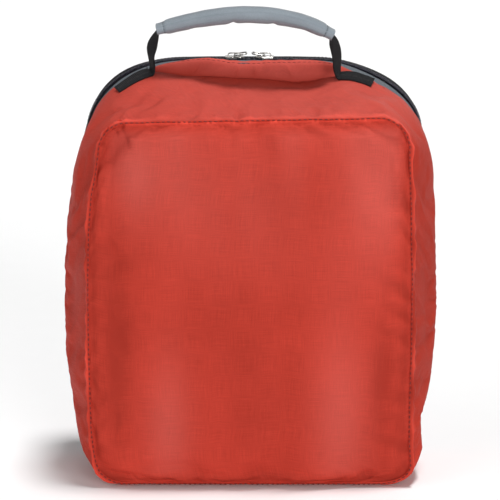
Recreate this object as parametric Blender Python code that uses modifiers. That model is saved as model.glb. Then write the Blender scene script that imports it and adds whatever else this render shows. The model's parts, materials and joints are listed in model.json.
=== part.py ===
"""Packing cube: a soft upright fabric bag with a zip-round mesh lid and a padded carry handle.

Frame: metres, +Z up, origin at the bottom centre. The plain main panel faces -Y, the lid faces +Y.
"""

import math

import bpy
import bmesh
from mathutils import Vector

# Driving dimensions, in metres.
BASE_HALF = 0.084           # half length of the flat run of the base, between the bottom corners
FABRIC = 0.0010             # thickness of the fabric walls
TAPE = 0.0008               # thickness of the zipper tape
BINDING = 0.0014            # thickness of the folded binding tapes
SEAM_GAP = 0.0004           # clearance between pieces that are sewn edge to edge
FRONT_SEAM_Y = -0.0530      # seam between the main panel and the gusset
GUSSET_BACK_Y = 0.0170      # edge of the gusset where the zipper tape starts
CHAIN_Y = 0.0310            # middle of the zipper chain
COIL_Y = 0.0014             # middle of each half of the chain from there
COIL_RADII = (0.0008, 0.0010)   # half sizes of one half of the chain, in depth and outwards
LID_EDGE_Y = 0.0450         # edge where the lid panel starts
PANEL_CROWN = 0.0080        # how far the main panel bulges past its seam
LID_CROWN = 0.0160          # how far the lid bulges past its edge
HINGE_Y = 0.0470            # axis of the lid's fabric hinge
HINGE_Z = 0.0040

HANDLE_X = -0.0040          # middle of the handle
HANDLE_Y = 0.0010           # plane of the handle when it stands up
ROOT_HALF = 0.0630          # half distance between the points where the webbing leaves the gusset
ROOT_Z = 0.2841             # lower ends of the free webbing
BEND_Z = 0.2887             # height at which the free webbing bends when the handle folds over
GRIP_END_HALF = 0.0600      # half length of the grip
GRIP_HALF_WIDTH = 0.0090
GRIP_HALF_HEIGHT = 0.0058
GRIP_THINNING = 0.0014      # how much flatter the grip is at its two ends
GRIP_TOP_Z = 0.32145        # middle line of the grip above its middle
GRIP_RISE = 0.0120          # mean fall of the middle line from there to the two ends
GRIP_SKEW = 0.0034          # how much further it falls to the right end than to the left
GRIP_TILT = 0.0014          # rise of the middle line to the right at its middle
WEBBING_WIDTH = 0.0100
WEBBING_THICK = 0.0014
WEBBING_DROP = 0.0012       # the webbing runs this far below the middle line of the grip
FOAM_HALF_WIDTH = 0.0054
FOAM_HALF_HEIGHT = 0.0015
FOAM_LIFT = 0.0018          # the foam lies this far above the middle line of the grip
TAIL_LENGTH = 0.0225
TAIL_SKEW = 0.20            # the sewn-down tails run forward by this share of their length
TAIL_THICK = 0.0012
TAIL_LIFT = 0.0022          # top of a tail above the gusset
PATCH_THICK = 0.0010
PATCH_LIFT = -0.0024        # top of an anchor patch, below the gusset
PATCH_REACH = (0.004, 0.003)    # how far a patch reaches past the tail, along it and across it

SLIDERS_X = -0.0004         # middle between the two sliders
SLIDER_APART = 0.0104       # middle of each slider from there
SLIDER_LENGTH = 0.0134
SLIDER_WIDTH = 0.0092
PLATE_THICK = 0.0012
PLATE_Z = 0.0019            # middle of each slider plate from the middle of the chain
WEDGE_SIZE = (0.0020, 0.0014, 0.0038)
WEDGE_SETBACK = 0.0014      # middle of the wedge from the nose of the slider
BRIDGE_SIZE = (0.0100, 0.0022, 0.0032)
BRIDGE_Z = 0.0035
TUNNEL_SIZE = (0.0072, 0.0040, 0.00175)
TUNNEL_Z = 0.003425
PULL_Z = 0.00345            # wire of the pull where it runs through the bridge
WIRE_RADIUS = 0.00055       # wire of the pull loops
PULL_WIDTH = 0.0094
PULL_HEIGHT = 0.0085
PULL_CORNER = 0.0024
PULL_LEAN = math.radians(82)    # each pull lies over, towards the other slider

BODY_TAPE_END_Y = 0.0286    # edges of the two zipper tapes beside the chain
LID_TAPE_START_Y = 0.0334
SEAM_BINDING_DEPTHS = (-0.0510, -0.0450)
SEAM_BINDING_INSET = 0.0028     # the seam binding stands this far inside the gusset
SEAM_BINDING_THICK = 0.0010
MESH_THICK = 0.0008
TAB_THICK = 0.0008
TAB_INSET = 0.0022
LABEL_THICK = 0.0006

CORNER_STEPS = 5
SIDE_STEPS = 6
SHOULDER_STEPS = 7
RUN_STEPS = 3

# Cross-sections of the bag in the XZ plane, from the main seam to the edge of the lid:
# y, half width low, half width high, side bow, bottom, top, corner height, shoulder height, top run.
SECTIONS = (
    (-0.0530, 0.1050, 0.1065, 0.0025, 0.0040, 0.2570, 0.0220, 0.0200, 0.0880),
    (-0.0460, 0.1095, 0.1120, 0.0050, 0.0000, 0.2625, 0.0260, 0.0270, 0.0840),
    (-0.0250, 0.1160, 0.1225, 0.0075, 0.0000, 0.2720, 0.0290, 0.0550, 0.0670),
    (-0.0030, 0.1180, 0.1248, 0.0076, 0.0000, 0.2790, 0.0300, 0.0640, 0.0560),
    (0.0080, 0.1170, 0.1244, 0.0073, 0.0000, 0.2850, 0.0300, 0.0640, 0.0520),
    (0.0170, 0.1160, 0.1235, 0.0070, 0.0000, 0.2875, 0.0300, 0.0640, 0.0500),
    (0.0310, 0.1150, 0.1220, 0.0065, 0.0000, 0.2860, 0.0300, 0.0620, 0.0500),
    (0.0380, 0.1140, 0.1210, 0.0060, 0.0000, 0.2854, 0.0290, 0.0620, 0.0500),
    (0.0450, 0.1130, 0.1195, 0.0060, 0.0055, 0.2844, 0.0260, 0.0620, 0.0500),
)

CENTRE = Vector((0, -0.004, 0.14))


def clear_scene():
    for item in list(bpy.data.objects):
        bpy.data.objects.remove(item, do_unlink=True)


def collection(name):
    made = bpy.data.collections.new(name)
    bpy.context.scene.collection.children.link(made)
    return made


def material(name, colour, roughness, metallic=0.0):
    made = bpy.data.materials.new(name)
    made.use_nodes = True
    shader = made.node_tree.nodes["Principled BSDF"]
    shader.inputs["Base Color"].default_value = (*colour, 1.0)
    shader.inputs["Roughness"].default_value = roughness
    shader.inputs["Metallic"].default_value = metallic
    return made


def mesh_object(name, bm, look, pivot=Vector()):
    """Turn a bmesh into an object whose origin lies on the given pivot."""
    bmesh.ops.translate(bm, verts=bm.verts, vec=-pivot)
    mesh = bpy.data.meshes.new(name)
    bm.to_mesh(mesh)
    bm.free()
    mesh.materials.append(look)
    made = bpy.data.objects.new(name, mesh)
    made.location = pivot
    PARTS.objects.link(made)
    return made


def smooth(item, angle=40):
    item.data.shade_smooth()
    item.data.set_sharp_from_angle(angle=math.radians(angle))


def section_at(y):
    """Cross-section values at depth y, from the two nearest sections."""
    for low, high in zip(SECTIONS, SECTIONS[1:]):
        if y <= high[0]:
            break
    share = (y - low[0]) / (high[0] - low[0])
    return [a + (b - a) * share for a, b in zip(low, high)][1:]


def arch(y, inset=0.0):
    """Outline at depth y: from the base over the right side, the top and the left side to the base."""
    low, high, bow, bottom, top, corner, shoulder, run = section_at(y)
    half = []
    for step in range(CORNER_STEPS):
        angle = math.pi / 2 * step / CORNER_STEPS
        x = BASE_HALF + (low - BASE_HALF - inset) * math.sin(angle)
        half.append((x, bottom + inset + (corner - inset) * (1 - math.cos(angle))))
    for step in range(SIDE_STEPS):
        share = step / SIDE_STEPS
        x = low + (high - low) * share + bow * math.sin(math.pi * share) - inset
        half.append((x, bottom + corner + (top - shoulder - bottom - corner) * share))
    for step in range(SHOULDER_STEPS):
        angle = math.pi / 2 * step / SHOULDER_STEPS
        x = run + (high - run - inset) * math.cos(angle)
        half.append((x, top - shoulder + (shoulder - inset) * math.sin(angle)))
    for step in range(RUN_STEPS + 1):
        half.append((run * (1 - step / RUN_STEPS), top - inset))
    mirrored = [(-x, z) for x, z in reversed(half[:-1])]
    return [Vector((x, y, z)) for x, z in half + mirrored]


def loop(y, inset=0.0):
    """The arch closed along the base."""
    points = arch(y, inset)
    start, end = points[-1], points[0]
    return points + [start.lerp(end, share) for share in (0.25, 0.5, 0.75)]


def loft(rows, closed=False, tip=None):
    """Open surface through rows of points; closed joins each row's ends, tip closes the last row."""
    bm = bmesh.new()
    grid = [[bm.verts.new(point) for point in row] for row in rows]
    count = len(grid[0])
    spans = count if closed else count - 1
    for upper, lower in zip(grid, grid[1:]):
        for index in range(spans):
            after = (index + 1) % count
            bm.faces.new((upper[index], upper[after], lower[after], lower[index]))
    if tip is not None:
        point = bm.verts.new(tip)
        for index in range(spans):
            bm.faces.new((grid[-1][index], grid[-1][(index + 1) % count], point))
    return bm


def face_away(bm, centre):
    """Turn the surface so that its faces look away from the centre."""
    bm.normal_update()
    outward = sum(face.normal.dot(face.calc_center_median() - centre) * face.calc_area()
                  for face in bm.faces)
    if outward < 0:
        bmesh.ops.reverse_faces(bm, faces=bm.faces)


def shell(name, bm, thickness, look, centre=CENTRE, offset=-1.0, pivot=Vector()):
    """Give an open surface its thickness, inwards from the faces that look away from the centre."""
    face_away(bm, centre)
    made = mesh_object(name, bm, look, pivot)
    wall = made.modifiers.new("wall", "SOLIDIFY")
    wall.thickness = thickness
    wall.offset = offset
    wall.use_even_offset = True
    smooth(made)
    return made


def strip(name, depths, thickness, look, inset=0.0, lid=False):
    """Strip of the zip-round wall between two depths, all around the arch."""
    rows = [arch(y, inset) for y in depths]
    return shell(name, loft(rows), thickness, look, pivot=LID_PIVOT if lid else Vector())


def toward(point, share, y, centre_z):
    """A point of an outline drawn in towards the middle of the panel and moved to depth y."""
    return Vector((point.x * share, y, centre_z + (point.z - centre_z) * share))


def bulge(share):
    """Pillow profile: 0 at the edge of a panel (share 1) and 1 at its middle (share 0)."""
    return (1 - share ** 3.2) ** 0.75


def main_panel(look):
    edge = loop(FRONT_SEAM_Y)
    middle = (edge[0].z + max(point.z for point in edge)) / 2
    shares = (1.0, 0.95, 0.86, 0.70, 0.40)
    start = FRONT_SEAM_Y - FABRIC - SEAM_GAP
    rows = [[toward(p, s, start - PANEL_CROWN * bulge(s), middle) for p in edge] for s in shares]
    tip = Vector((0, start - PANEL_CROWN, middle))
    shell("main_panel", loft(rows, closed=True, tip=tip), FABRIC, look)


def lid_rows(shares):
    """Rings of the domed lid, each a share of the lid's edge outline."""
    edge = loop(LID_EDGE_Y)
    middle = (edge[0].z + max(point.z for point in edge)) / 2
    start = LID_EDGE_Y + BINDING + SEAM_GAP
    rows = [[toward(p, s, start + LID_CROWN * bulge(s), middle) for p in edge] for s in shares]
    return rows, Vector((0, start + LID_CROWN, middle))


def lid_pieces(looks):
    """Edge binding, fabric border, window trim and mesh window, from the edge to the middle."""
    bands = (("lid_edge_binding", (1.0, 0.965), BINDING, looks["black_tape"]),
             ("lid_border", (0.960, 0.91, 0.85), FABRIC, looks["coral"]),
             ("lid_window_trim", (0.845, 0.815), BINDING, looks["black_tape"]))
    for name, shares, thickness, look in bands:
        rows, _ = lid_rows(shares)
        shell(name, loft(rows, closed=True), thickness, look, pivot=LID_PIVOT)
    rows, tip = lid_rows((0.810, 0.60, 0.35))
    bm = loft(rows, closed=True, tip=tip)
    shell("lid_mesh", bm, MESH_THICK, looks["mesh"], pivot=LID_PIVOT)


def base_gusset(look):
    depths = (FRONT_SEAM_Y + SEAM_GAP, -0.046, -0.025, 0.0, 0.020, 0.038)
    rows = []
    for y in depths:
        bottom = section_at(y)[3]
        half = BASE_HALF - SEAM_GAP
        rows.append([Vector((half * share, y, bottom)) for share in (1, 0.5, 0, -0.5, -1)])
    shell("base_gusset", loft(rows), FABRIC, look)


def hinge_strip(look):
    """Fabric hinge that joins the back of the base to the lower edge of the lid."""
    profile = ((0.0384, 0.0), (0.0415, 0.0006), (0.0434, 0.0020), (0.0440, 0.0038))
    half = BASE_HALF - SEAM_GAP
    rows = [[Vector((half * share, y, z)) for share in (1, 0, -1)] for y, z in profile]
    shell("hinge_strip", loft(rows), FABRIC, look)


def seam_binding(look):
    """Tape folded over the raw edges of the main seam, inside the bag."""
    rows = [loop(y, SEAM_BINDING_INSET) for y in SEAM_BINDING_DEPTHS]
    shell("main_seam_binding", loft(rows, closed=True), SEAM_BINDING_THICK, look)


def coil(name, y, look, lid=False):
    """Half of the zipper chain, a bar of six sides that stops short of the base at both ends."""
    radius_y, radius_z = COIL_RADII
    path = arch(y, inset=TAPE / 2)[1:-1]
    rows = []
    for index, point in enumerate(path):
        ahead = path[min(index + 1, len(path) - 1)]
        behind = path[max(index - 1, 0)]
        along = (ahead - behind).normalized()
        across = along.cross(Vector((0, 1, 0)))
        ring = []
        for side in range(6):
            angle = math.tau * (side + 0.5) / 6
            offset = across * radius_z * math.sin(angle)
            ring.append(point + offset + Vector((0, radius_y * math.cos(angle), 0)))
        rows.append(ring)
    bm = loft(rows, closed=True)
    close_ends(bm)
    smooth(mesh_object(name, bm, look, LID_PIVOT if lid else Vector()))


def close_ends(bm):
    edges = [edge for edge in bm.edges if edge.is_boundary]
    bmesh.ops.holes_fill(bm, edges=edges, sides=0)
    bmesh.ops.recalc_face_normals(bm, faces=bm.faces)


def end_tab(side, look):
    """Fabric tab that covers the end of the zipper chain at the base."""
    sign = -1 if side == "left" else 1
    half = BASE_HALF + SEAM_GAP
    rows = []
    for y in (GUSSET_BACK_Y + 0.0010, 0.5 * (GUSSET_BACK_Y + CHAIN_Y), CHAIN_Y):
        outline = arch(y, TAB_INSET)
        curve = outline if sign > 0 else outline[::-1]
        rows.append([point for point in curve[:3] if abs(point.x) >= half - 0.001])
    shell(f"zipper_end_tab_{side}", loft(rows), TAB_THICK, look)


def surface_z(x, y):
    """Height of the top gusset above the point (x, y)."""
    points = arch(y)
    for first, second in zip(points, points[1:]):
        if first.z > 0.15 and second.x <= x <= first.x:
            share = (x - first.x) / (second.x - first.x)
            return first.z + (second.z - first.z) * share
    raise ValueError("no gusset above this point")


def gusset_patch(name, x_range, y_range, lift, thickness, look):
    """Slanted strip that follows the top gusset at a height above it or below it."""
    rows = []
    for row in range(3):
        points = []
        for column in range(6):
            x = x_range[0] + (x_range[1] - x_range[0]) * column / 5
            y = y_range[0] + (y_range[1] - y_range[0]) * row / 2 - TAIL_SKEW * abs(x - x_range[0])
            points.append(Vector((x, y, surface_z(x, y) + lift)))
        rows.append(points)
    shell(name, loft(rows), thickness, look)


def handle_anchors(looks):
    """Sewn-down webbing tails on the gusset, and the patches behind them inside the bag."""
    half = WEBBING_WIDTH / 2
    for side, sign in (("left", -1), ("right", 1)):
        root = HANDLE_X + sign * (ROOT_HALF + 2 * WEBBING_THICK)
        tail = (root, root + sign * TAIL_LENGTH)
        depth = (HANDLE_Y - half, HANDLE_Y + half)
        gusset_patch(f"handle_tail_{side}", tail, depth, TAIL_LIFT, TAIL_THICK, looks["webbing"])
        along, across = PATCH_REACH
        inside = (root - sign * along, root + sign * (TAIL_LENGTH + along))
        behind = (depth[0] - across, depth[1] + across)
        gusset_patch(f"anchor_patch_{side}", inside, behind, PATCH_LIFT, PATCH_THICK,
                     looks["black_tape"])


def grip_line(share):
    """Point and upward normal of the grip's middle line; share runs from -1 to 1."""
    x = HANDLE_X + GRIP_END_HALF * share
    z = GRIP_TOP_Z + GRIP_TILT * share - GRIP_RISE * share ** 2 - GRIP_SKEW * share ** 3
    slope = (GRIP_TILT - 2 * GRIP_RISE * share - 3 * GRIP_SKEW * share ** 2) / GRIP_END_HALF
    return Vector((x, HANDLE_Y, z)), Vector((-slope, 0, 1)).normalized()


def webbing_path():
    """One strap: up from the left root, through the grip, and down to the right root."""
    inner = []
    for step in range(-6, 7):
        point, normal = grip_line(step / 6)
        inner.append(point - normal * WEBBING_DROP)
    risers = []
    for sign, end in ((-1, inner[0]), (1, inner[-1])):
        riser = []
        for share, out in ((0.0, 0.0), (0.35, 0.0016), (0.70, 0.0006)):
            z = ROOT_Z + (end.z - ROOT_Z) * share
            riser.append(Vector((HANDLE_X + sign * (ROOT_HALF + out), HANDLE_Y, z)))
        risers.append(riser)
    return risers[0] + inner + risers[1][::-1]


def handle_webbing(look):
    half = Vector((0, WEBBING_WIDTH / 2, 0))
    path = webbing_path()
    rows = [[point - half for point in path], [point + half for point in path]]
    below = Vector((HANDLE_X, HANDLE_Y, ROOT_Z))
    shell("handle_webbing", loft(rows), WEBBING_THICK, look, below, 0.0, HANDLE_PIVOT)


def oval_rows(shares, half_width, half_height, lift=0.0, sides=12):
    """Oval rings around the grip's middle line; half_height is a function of the share."""
    rows = []
    for share in shares:
        point, normal = grip_line(share)
        tall = half_height(share)
        ring = []
        for side in range(sides):
            angle = math.tau * side / sides
            across = Vector((0, half_width * math.cos(angle), 0))
            ring.append(point + across + normal * (tall * math.sin(angle) + lift))
        rows.append(ring)
    return rows


def grip_half_height(share):
    return GRIP_HALF_HEIGHT - GRIP_THINNING * share ** 2


def handle_grip(looks):
    """Cover sewn round the foam and the webbing, open at both ends."""
    shares = [step / 5 for step in range(-5, 6)]
    cover = loft(oval_rows(shares, GRIP_HALF_WIDTH, grip_half_height), closed=True)
    made = mesh_object("handle_grip_cover", cover, looks["grip"], HANDLE_PIVOT)
    wall = made.modifiers.new("wall", "SOLIDIFY")
    wall.thickness = FABRIC
    wall.offset = -1.0
    smooth(made)
    shares = [step * 0.17 for step in range(-5, 6)]
    rows = oval_rows(shares, FOAM_HALF_WIDTH, lambda share: FOAM_HALF_HEIGHT, FOAM_LIFT)
    foam = loft(rows, closed=True)
    close_ends(foam)
    smooth(mesh_object("handle_foam_core", foam, looks["foam"], HANDLE_PIVOT))


def box(size, at):
    bm = bmesh.new()
    bmesh.ops.create_cube(bm, size=1.0)
    bmesh.ops.scale(bm, verts=bm.verts, vec=size)
    bmesh.ops.translate(bm, verts=bm.verts, vec=at)
    return bm


def cutter(name, bm):
    mesh = bpy.data.meshes.new(name)
    bm.to_mesh(mesh)
    bm.free()
    made = bpy.data.objects.new(name, mesh)
    made.hide_render = True
    made.display_type = "WIRE"
    CUTTERS.objects.link(made)
    return made


def join(target, other, operation):
    step = target.modifiers.new(other.name, "BOOLEAN")
    step.operation = operation
    step.object = other
    step.solver = "EXACT"


def slider(side, look):
    """Cast slider: two plates round the chain, a wedge between them and a bridge for the pull."""
    sign = -1 if side == "left" else 1
    at = Vector((SLIDERS_X + sign * SLIDER_APART, CHAIN_Y, section_at(CHAIN_Y)[4] - TAPE / 2))
    plate = (SLIDER_LENGTH, SLIDER_WIDTH, PLATE_THICK)
    made = mesh_object(f"slider_{side}", box(plate, Vector((0, 0, PLATE_Z))), look)
    made.location = at
    lower = box(plate, Vector((0, 0, -PLATE_Z)))
    wedge_x = -sign * (SLIDER_LENGTH / 2 - WEDGE_SETBACK)
    wedge = box(WEDGE_SIZE, Vector((wedge_x, 0, 0)))
    bridge = box(BRIDGE_SIZE, Vector((0, 0, BRIDGE_Z)))
    tunnel = box(TUNNEL_SIZE, Vector((0, 0, TUNNEL_Z)))
    for name, bm, operation in (("lower_plate", lower, "UNION"), ("wedge", wedge, "UNION"),
                                ("bridge", bridge, "UNION"), ("tunnel", tunnel, "DIFFERENCE")):
        tool = cutter(f"{name}_{side}", bm)
        tool.location = at
        join(made, tool, operation)
    return at


def pull(side, slider_at, look):
    """Wire loop through the slider's bridge, as it leans at rest."""
    axis_at = slider_at + Vector((0, 0, PULL_Z))
    corner = PULL_CORNER
    half = PULL_WIDTH / 2
    corners = ((half - corner, corner), (half - corner, PULL_HEIGHT - corner),
               (corner - half, PULL_HEIGHT - corner), (corner - half, corner))
    starts = (-math.pi / 2, 0.0, math.pi / 2, math.pi)
    points = []
    for (x, z), start in zip(corners, starts):
        for step in range(4):
            angle = start + math.pi / 2 * step / 3
            points.append((x + corner * math.cos(angle), 0, z + corner * math.sin(angle), 1))
    curve = bpy.data.curves.new(f"pull_{side}_line", "CURVE")
    curve.dimensions = "3D"
    curve.bevel_depth = WIRE_RADIUS
    curve.bevel_resolution = 2
    spline = curve.splines.new("POLY")
    spline.points.add(len(points) - 1)
    for target, point in zip(spline.points, points):
        target.co = point
    spline.use_cyclic_u = True
    made = bpy.data.objects.new(f"pull_{side}", curve)
    curve.materials.append(look)
    made.location = axis_at
    made.rotation_euler = (-PULL_LEAN, 0, -math.pi / 2 if side == "left" else math.pi / 2)
    PARTS.objects.link(made)


def care_label(look):
    """Blank woven label that hangs from the main seam inside the bag."""
    rows = []
    for y in (-0.0430, -0.0300, -0.0180):
        rows.append([Vector((-0.1040 - 0.08 * (y + 0.0430), y, z)) for z in (0.060, 0.078, 0.096)])
    shell("care_label", loft(rows), LABEL_THICK, look)


def zipper(looks):
    body_depths = (GUSSET_BACK_Y + SEAM_GAP, 0.0230, BODY_TAPE_END_Y)
    lid_depths = (LID_TAPE_START_Y, 0.0390, LID_EDGE_Y - SEAM_GAP)
    strip("zipper_tape_body", body_depths, TAPE, looks["tape"])
    strip("zipper_tape_lid", lid_depths, TAPE, looks["tape"], lid=True)
    coil("zipper_coil_body", CHAIN_Y - COIL_Y, looks["chain"])
    coil("zipper_coil_lid", CHAIN_Y + COIL_Y, looks["chain"], lid=True)
    for side in ("left", "right"):
        end_tab(side, looks["black_tape"])
        at = slider(side, looks["nickel"])
        pull(side, at, looks["nickel"])


def build():
    looks = {
        "coral": material("coral_taffeta", (0.56, 0.075, 0.045), 0.55),
        "black_tape": material("black_binding", (0.012, 0.012, 0.014), 0.75),
        "mesh": material("black_mesh", (0.015, 0.015, 0.017), 0.7),
        "tape": material("grey_zipper_tape", (0.22, 0.26, 0.30), 0.8),
        "chain": material("black_nylon_coil", (0.010, 0.012, 0.020), 0.4),
        "webbing": material("black_webbing", (0.010, 0.009, 0.011), 0.8),
        "grip": material("grey_grip_fabric", (0.28, 0.33, 0.37), 0.6),
        "foam": material("white_foam", (0.75, 0.75, 0.72), 0.9),
        "nickel": material("nickel_plate", (0.70, 0.68, 0.65), 0.25, 1.0),
        "label": material("white_label", (0.8, 0.8, 0.78), 0.7),
    }
    main_panel(looks["coral"])
    gusset_depths = (FRONT_SEAM_Y + SEAM_GAP, -0.046, -0.025, -0.003, 0.008, GUSSET_BACK_Y)
    strip("side_gusset", gusset_depths, FABRIC, looks["coral"])
    base_gusset(looks["coral"])
    hinge_strip(looks["coral"])
    seam_binding(looks["black_tape"])
    care_label(looks["label"])
    zipper(looks)
    lid_pieces(looks)
    handle_anchors(looks)
    handle_webbing(looks["webbing"])
    handle_grip(looks)


LID_PIVOT = Vector((0, HINGE_Y, HINGE_Z))
HANDLE_PIVOT = Vector((HANDLE_X, HANDLE_Y, BEND_Z))

clear_scene()
PARTS = collection("packing_cube")
CUTTERS = collection("cutters")
build()
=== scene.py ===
"""Looks of the packing cube: a coral taffeta bag with a zip-round mesh lid and a padded grip."""

import json
import math

import bmesh
import bpy
import numpy as np
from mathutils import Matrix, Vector
from mathutils.bvhtree import BVHTree


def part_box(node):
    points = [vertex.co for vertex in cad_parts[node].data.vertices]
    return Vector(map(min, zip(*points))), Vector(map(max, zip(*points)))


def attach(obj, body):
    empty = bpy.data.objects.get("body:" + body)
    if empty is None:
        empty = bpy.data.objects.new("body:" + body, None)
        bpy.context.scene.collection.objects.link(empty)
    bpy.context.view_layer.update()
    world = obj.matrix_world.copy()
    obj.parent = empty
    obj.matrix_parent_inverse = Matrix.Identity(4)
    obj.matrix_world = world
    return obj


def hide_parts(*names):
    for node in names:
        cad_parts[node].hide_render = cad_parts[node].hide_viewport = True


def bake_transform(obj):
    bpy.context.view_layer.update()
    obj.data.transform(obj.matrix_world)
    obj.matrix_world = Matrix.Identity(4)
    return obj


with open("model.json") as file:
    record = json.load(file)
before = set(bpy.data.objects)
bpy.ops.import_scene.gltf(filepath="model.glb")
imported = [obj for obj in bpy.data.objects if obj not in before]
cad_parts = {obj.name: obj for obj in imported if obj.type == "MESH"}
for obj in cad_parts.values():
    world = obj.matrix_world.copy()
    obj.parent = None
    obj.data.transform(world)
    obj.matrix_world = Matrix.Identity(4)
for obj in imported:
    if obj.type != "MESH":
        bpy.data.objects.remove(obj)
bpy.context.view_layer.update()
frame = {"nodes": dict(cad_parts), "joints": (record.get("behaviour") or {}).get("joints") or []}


def centre(node):
    low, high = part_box(node)
    return 0.5 * (low + high)


# Driving dimensions, read from the frame.
GUSSET_LOW, GUSSET_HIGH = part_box("side_gusset")
PANEL_LOW, PANEL_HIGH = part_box("main_panel")
LID_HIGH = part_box("lid_mesh")[1]
WIDE = GUSSET_HIGH.x                    # half width of the bag at its widest
TOP = GUSSET_HIGH.z                     # top of the gusset
FRONT_Y = GUSSET_LOW.y                  # main seam
BACK_Y = GUSSET_HIGH.y                  # edge of the gusset at the zipper
BASE_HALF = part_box("base_gusset")[1].x  # flat run of the base
CHAIN_Y = 0.5 * (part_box("zipper_coil_body")[0].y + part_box("zipper_coil_lid")[1].y)
LID_EDGE_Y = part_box("zipper_tape_lid")[1].y
HINGE_EDGE_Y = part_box("base_gusset")[1].y
SIDES = ("left", "right")
SLIDERS = {side: centre(f"slider_{side}") for side in SIDES}
SLIDERS_X = 0.5 * (SLIDERS["left"].x + SLIDERS["right"].x)
JOINTS = {joint["name"]: joint for joint in frame["joints"]}

MM = 0.001

# Cross-sections of the bag: depth, then how far the half width low and high, and the top, fall short
# of the widest; side bow, bottom, corner height, shoulder height, half length of the top run, and the
# power of the shoulder's curve (below 1 it is squarer than a quarter ellipse).
SECTIONS = np.array([
    (FRONT_Y, 20.0, 22.0, 29.0, 2.0, 3.0, 15.0, 19.0, 88.0, 1.15),
    (FRONT_Y + 7 * MM, 16.0, 16.5, 24.0, 4.0, 0.0, 21.0, 36.0, 80.0, 1.00),
    (FRONT_Y + 28 * MM, 11.5, 6.5, 15.5, 5.5, 0.0, 28.0, 70.0, 52.0, 0.80),
    (FRONT_Y + 50 * MM, 10.5, 4.5, 8.5, 5.3, 0.0, 30.0, 78.0, 48.0, 0.82),
    (FRONT_Y + 61 * MM, 12.0, 6.5, 2.5, 5.0, 0.0, 30.0, 68.0, 40.0, 0.94),
    (BACK_Y, 13.0, 8.8, 0.0, 5.0, 0.0, 30.0, 59.0, 32.0, 1.06),
    (CHAIN_Y - 5 * MM, 14.0, 9.8, 0.9, 5.0, 0.0, 30.0, 49.0, 47.0, 1.12),
    (CHAIN_Y, 14.0, 9.8, 1.5, 5.0, 0.0, 30.0, 49.0, 47.0, 1.05),
    (CHAIN_Y + 7 * MM, 15.0, 8.6, 2.0, 5.0, 0.0, 29.0, 54.0, 47.0, 0.99),
    (LID_EDGE_Y, 16.0, 7.0, 2.6, 5.5, 5.5, 26.0, 71.0, 30.0, 0.76),
])
SECTIONS[:, 1:9] *= MM

# Cells of half an outline: base, corner, side, shoulder, top run.
CELLS = (24, 10, 58, 14, 22)
HALF = sum(CELLS)
ROUND = 2 * HALF


# ---- curves and grids

def spline(x, knots, values):
    """Smooth curve through (knots, values), read at x."""
    slopes = np.gradient(values, knots)
    index = np.clip(np.searchsorted(knots, x) - 1, 0, len(knots) - 2)
    span = knots[index + 1] - knots[index]
    t = (x - knots[index]) / span
    low, high = values[index], values[index + 1]
    rise = (2 * t ** 3 - 3 * t ** 2 + 1) * low + (3 * t ** 2 - 2 * t ** 3) * high
    bend = (t ** 3 - 2 * t ** 2 + t) * slopes[index] + (t ** 3 - t ** 2) * slopes[index + 1]
    return rise + bend * span


def smoothstep(low, high, x):
    t = np.clip((x - low) / (high - low), 0, 1)
    return t * t * (3 - 2 * t)


def bump(x, middle, width):
    return np.exp(-((x - middle) / width) ** 2)


def uneven(points):
    """The lean of the soft bag: a lower right end of the top and a more drawn-in left shoulder."""
    x, y, z = points.T
    on_top = smoothstep(0.78 * TOP, 0.98 * TOP, z)
    back = smoothstep(-40 * MM, -10 * MM, y)
    at_chain = smoothstep(BACK_Y - 6 * MM, BACK_Y, y)
    beyond = (1 - at_chain) * smoothstep(0, 50 * MM, x) + at_chain * smoothstep(52 * MM, 90 * MM, x)
    fall = 1.6 * MM * beyond * back
    seam = 2.5 * MM * np.clip(x / (90 * MM), -1, 1) * (1 - back)
    drawn = 6.0 * MM * smoothstep(-55 * MM, -105 * MM, x) * bump(z, 0.85 * TOP, 0.12 * TOP)
    low = 2.5 * MM * smoothstep(70 * MM, 105 * MM, x) * bump(z, 0.03 * TOP, 0.09 * TOP)
    low += 3.5 * MM * smoothstep(-70 * MM, -95 * MM, x) * bump(z, 0.03 * TOP, 0.06 * TOP)
    return np.column_stack([x + drawn + low, y, z + (seam - fall) * on_top])


def outline(y, inset=0.0):
    """Closed outline of the bag at depth y, from the middle of the base round the +X side."""
    low, high, drop, bow, bottom, corner, shoulder, run, square = (
        spline(y, SECTIONS[:, 0], SECTIONS[:, column]) for column in range(1, 10))
    low, high, top = WIDE - low - inset, WIDE - high - inset, TOP - drop - inset
    bottom = max(bottom, 0.0) + inset
    base, turn, side, dome, flat = (np.arange(count) / count for count in CELLS)
    quarter = np.pi / 2
    height = top - shoulder - bottom - corner
    xs = np.concatenate([
        BASE_HALF * base,
        BASE_HALF + (low - BASE_HALF) * np.sin(quarter * turn) ** 0.68,
        low + (high - low) * side + bow * np.sin(np.pi * side),
        run + (high - run) * np.cos(quarter * dome) ** square,
        run * (1 - flat)])
    zs = np.concatenate([
        np.full(len(base), bottom),
        bottom + corner * (1 - np.cos(quarter * turn)),
        bottom + corner + height * side,
        top - shoulder + shoulder * np.sin(quarter * dome) ** square,
        np.full(len(flat), top)])
    xs = np.concatenate([xs, [0.0], -xs[:0:-1]])
    zs = np.concatenate([zs, [top], zs[:0:-1]])
    return uneven(np.column_stack([xs, np.full(len(xs), y), zs]))


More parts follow.
